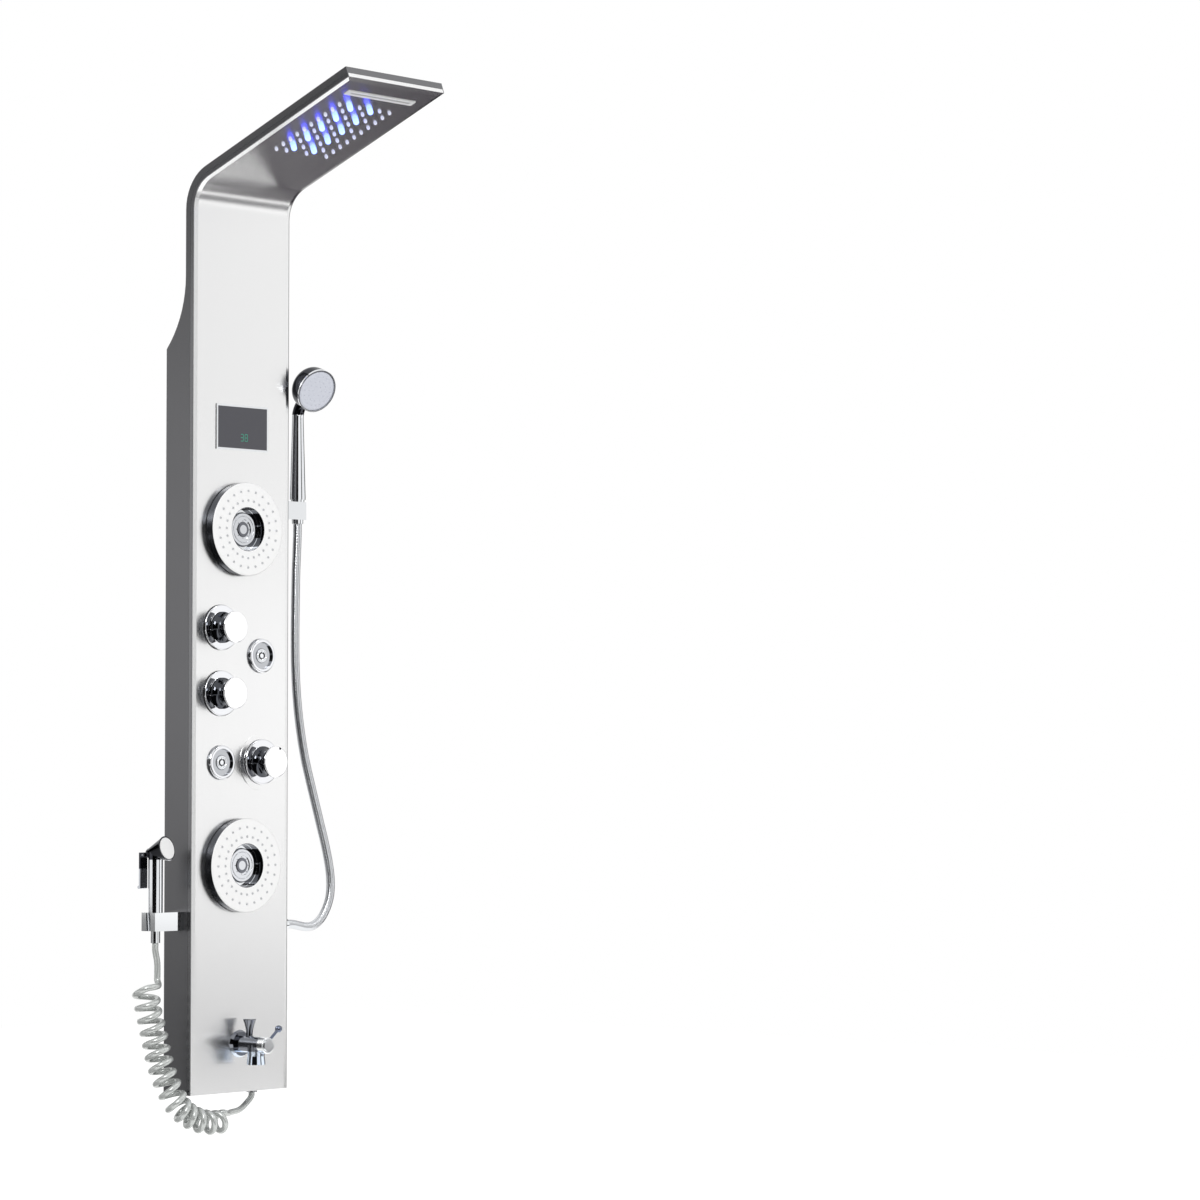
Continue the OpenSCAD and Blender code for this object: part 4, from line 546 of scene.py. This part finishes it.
def card(name, place, facing, width, height, material):
    """A flat card that faces a point."""
    shape = bmesh.new()
    bmesh.ops.create_grid(shape, x_segments=1, y_segments=1, size=0.5)
    turn = (Vector(facing) - Vector(place)).to_track_quat("Z", "Y").to_matrix().to_4x4()
    bmesh.ops.scale(shape, vec=(width, height, 1), verts=shape.verts)
    bmesh.ops.transform(shape, matrix=Matrix.Translation(place) @ turn, verts=shape.verts)
    mesh = bpy.data.meshes.new(name)
    shape.to_mesh(mesh)
    shape.free()
    mesh.materials.append(material)
    made = placed(name, mesh)
    return made


def flag(name, place, facing, width, height, colour, strength=1.0):
    """A card that only shows in glossy surfaces, as a flag beside the set does."""
    cloth, tree = empty_material(name + " cloth")
    glow = node(tree, "ShaderNodeEmission", {"Color": linear(colour), "Strength": strength})
    node(tree, "ShaderNodeOutputMaterial", links={"Surface": glow.outputs[0]})
    made = card(name, place, facing, width, height, cloth)
    made.visible_camera = False
    made.visible_diffuse = False
    made.visible_shadow = False
    made.visible_transmission = False


flag("low_side_flag", (-2.2, 2.0, -0.7), (0, 0, -0.7), 3.4, 0.5, "#909090")
flag("side_floor_flag", (-1.6, 1.4, -0.88), (-1.6, 1.4, 5), 3.0, 3.0, "#A0A0A1")
flag("under_flag", (2.85, 0.4, -0.87), (2.85, 0.4, 5), 3.3, 3.0, "#403B42")
flag("front_floor_flag", (2.0, -2.6, -0.86), (2.0, -2.6, 5), 3.0, 2.0, "#6C6B6E")
flag("bright_front_card", (2.9, -2.65, -0.08), (0, 0, -0.08), 2.4, 0.9, "#FFFFFF", 1.2)
flag("high_side_flag", (-2.6, 2.4, 2.1), (0, 0, 2.1), 3.6, 2.0, "#7E7E7F")
flag("narrow_front_flag", (1.5, -3.6, 0.3), (0, 0, 0.3), 1.0, 6.0, "#4A4A4C")
flag("dark_left_of_camera", (-5.7, -3.1, 0.4), (0, 0, 0.3), 8.4, 8.0, "#121212")
flag("dark_right", (3.6, 0.9, 0.6), (0, 0, 0.6), 2.6, 3.4, "#202022")
flag("dark_back_left", (-1.2, 3.4, 0.3), (0, 0, 0.3), 1.2, 4.5, "#202022")
flag("dark_floor_in_front", (-1.6, -2.0, -0.85), (-1.6, -2.0, 5), 3.4, 3.0, "#2A2A2B")


def background_rays(tree):
    """1 for camera, glossy and transmission rays."""
    rays = node(tree, "ShaderNodeLightPath").outputs
    through = node(tree, "ShaderNodeMath", {"operation": "MAXIMUM"},
                   {0: rays["Is Glossy Ray"], 1: rays["Is Transmission Ray"]})
    return node(tree, "ShaderNodeMath", {"operation": "MAXIMUM"},
                {0: rays["Is Camera Ray"], 1: through.outputs[0]}).outputs[0]


# World: white for the camera, and for what metal and glass show; softer as light on the object
SOFT_LIGHT = 0.6
world = bpy.data.worlds.new("studio")
bpy.context.scene.world = world
world.use_nodes = True
sky = world.node_tree
sky.nodes.clear()
light = node(sky, "ShaderNodeBackground", {"Color": linear("#FFFFFF"), "Strength": SOFT_LIGHT})
white = node(sky, "ShaderNodeBackground", {"Color": linear("#FFFFFF"), "Strength": 1.0})
mixed = node(sky, "ShaderNodeMixShader", links={0: background_rays(sky), 1: light.outputs[0], 2: white.outputs[0]})
node(sky, "ShaderNodeOutputWorld", links={"Surface": mixed.outputs[0]})

# Pale floor: keeps the shadow, and reads white to the camera where it is lit
FLOOR_GLOW = 0.6
FLOOR_UP, FLOOR_SIDE = -0.9, 9.0
floor_paint, floor_tree = empty_material("pale studio floor")
floor_matt = node(floor_tree, "ShaderNodeBsdfDiffuse", {"Color": linear("#F0F0EF")})
floor_share = node(floor_tree, "ShaderNodeMath", {"operation": "MULTIPLY", 1: FLOOR_GLOW},
                   {0: background_rays(floor_tree)})
floor_glow = node(floor_tree, "ShaderNodeEmission", {"Color": linear("#FFFFFF")}, {"Strength": floor_share.outputs[0]})
floor_both = node(floor_tree, "ShaderNodeAddShader", links={0: floor_matt.outputs[0], 1: floor_glow.outputs[0]})
node(floor_tree, "ShaderNodeOutputMaterial", links={"Surface": floor_both.outputs[0]})
card("floor", (0, 0, FLOOR_UP), (0, 0, 5), FLOOR_SIDE, FLOOR_SIDE, floor_paint)


def lamp(name, place, target, width, height, watts, glossy=True):
    """A soft rectangular lamp aimed at a point."""
    data = bpy.data.lights.new(name, "AREA")
    data.shape = "RECTANGLE"
    data.size, data.size_y, data.energy = width, height, watts
    made = placed(name, data)
    made.location = place
    made.rotation_euler = (Vector(target) - Vector(place)).to_track_quat("-Z", "Y").to_euler()
    made.visible_glossy = glossy


lamp("left_softbox", (-3.2, -2.6, 2.2), (0, 0, 0.1), 1.4, 1.4, 80)
lamp("right_softbox", (1.6, -3.6, 2.8), (0, 0, 0.1), 1.2, 1.2, 25)
lamp("low_bounce", (0.8, -1.2, -0.8), (0, -0.25, 0.85), 1.0, 1.0, 7, glossy=False)

# Glow of the rain head's lamps on the nozzles and the steel round them: two lines of five, in mm
GLOW_X = (-31.2, 10.4)
FIRST_Y, STEP_Y = -213.8, 30.7
FIRST_UP, STEP_UP = 806.0, 11.55
GLOW_WATTS, GLOW_RADIUS = 0.003, 0.004
for x in GLOW_X:
    for row in range(5):
        data = bpy.data.lights.new("rain_lamp_glow", "POINT")
        data.color, data.energy, data.shadow_soft_size = linear("#3A40FF")[:3], GLOW_WATTS, GLOW_RADIUS
        glow = placed("rain_lamp_glow", data)
        glow.visible_camera = False
        glow.location = (x * MM, (FIRST_Y - STEP_Y * row) * MM, (FIRST_UP + STEP_UP * row) * MM)
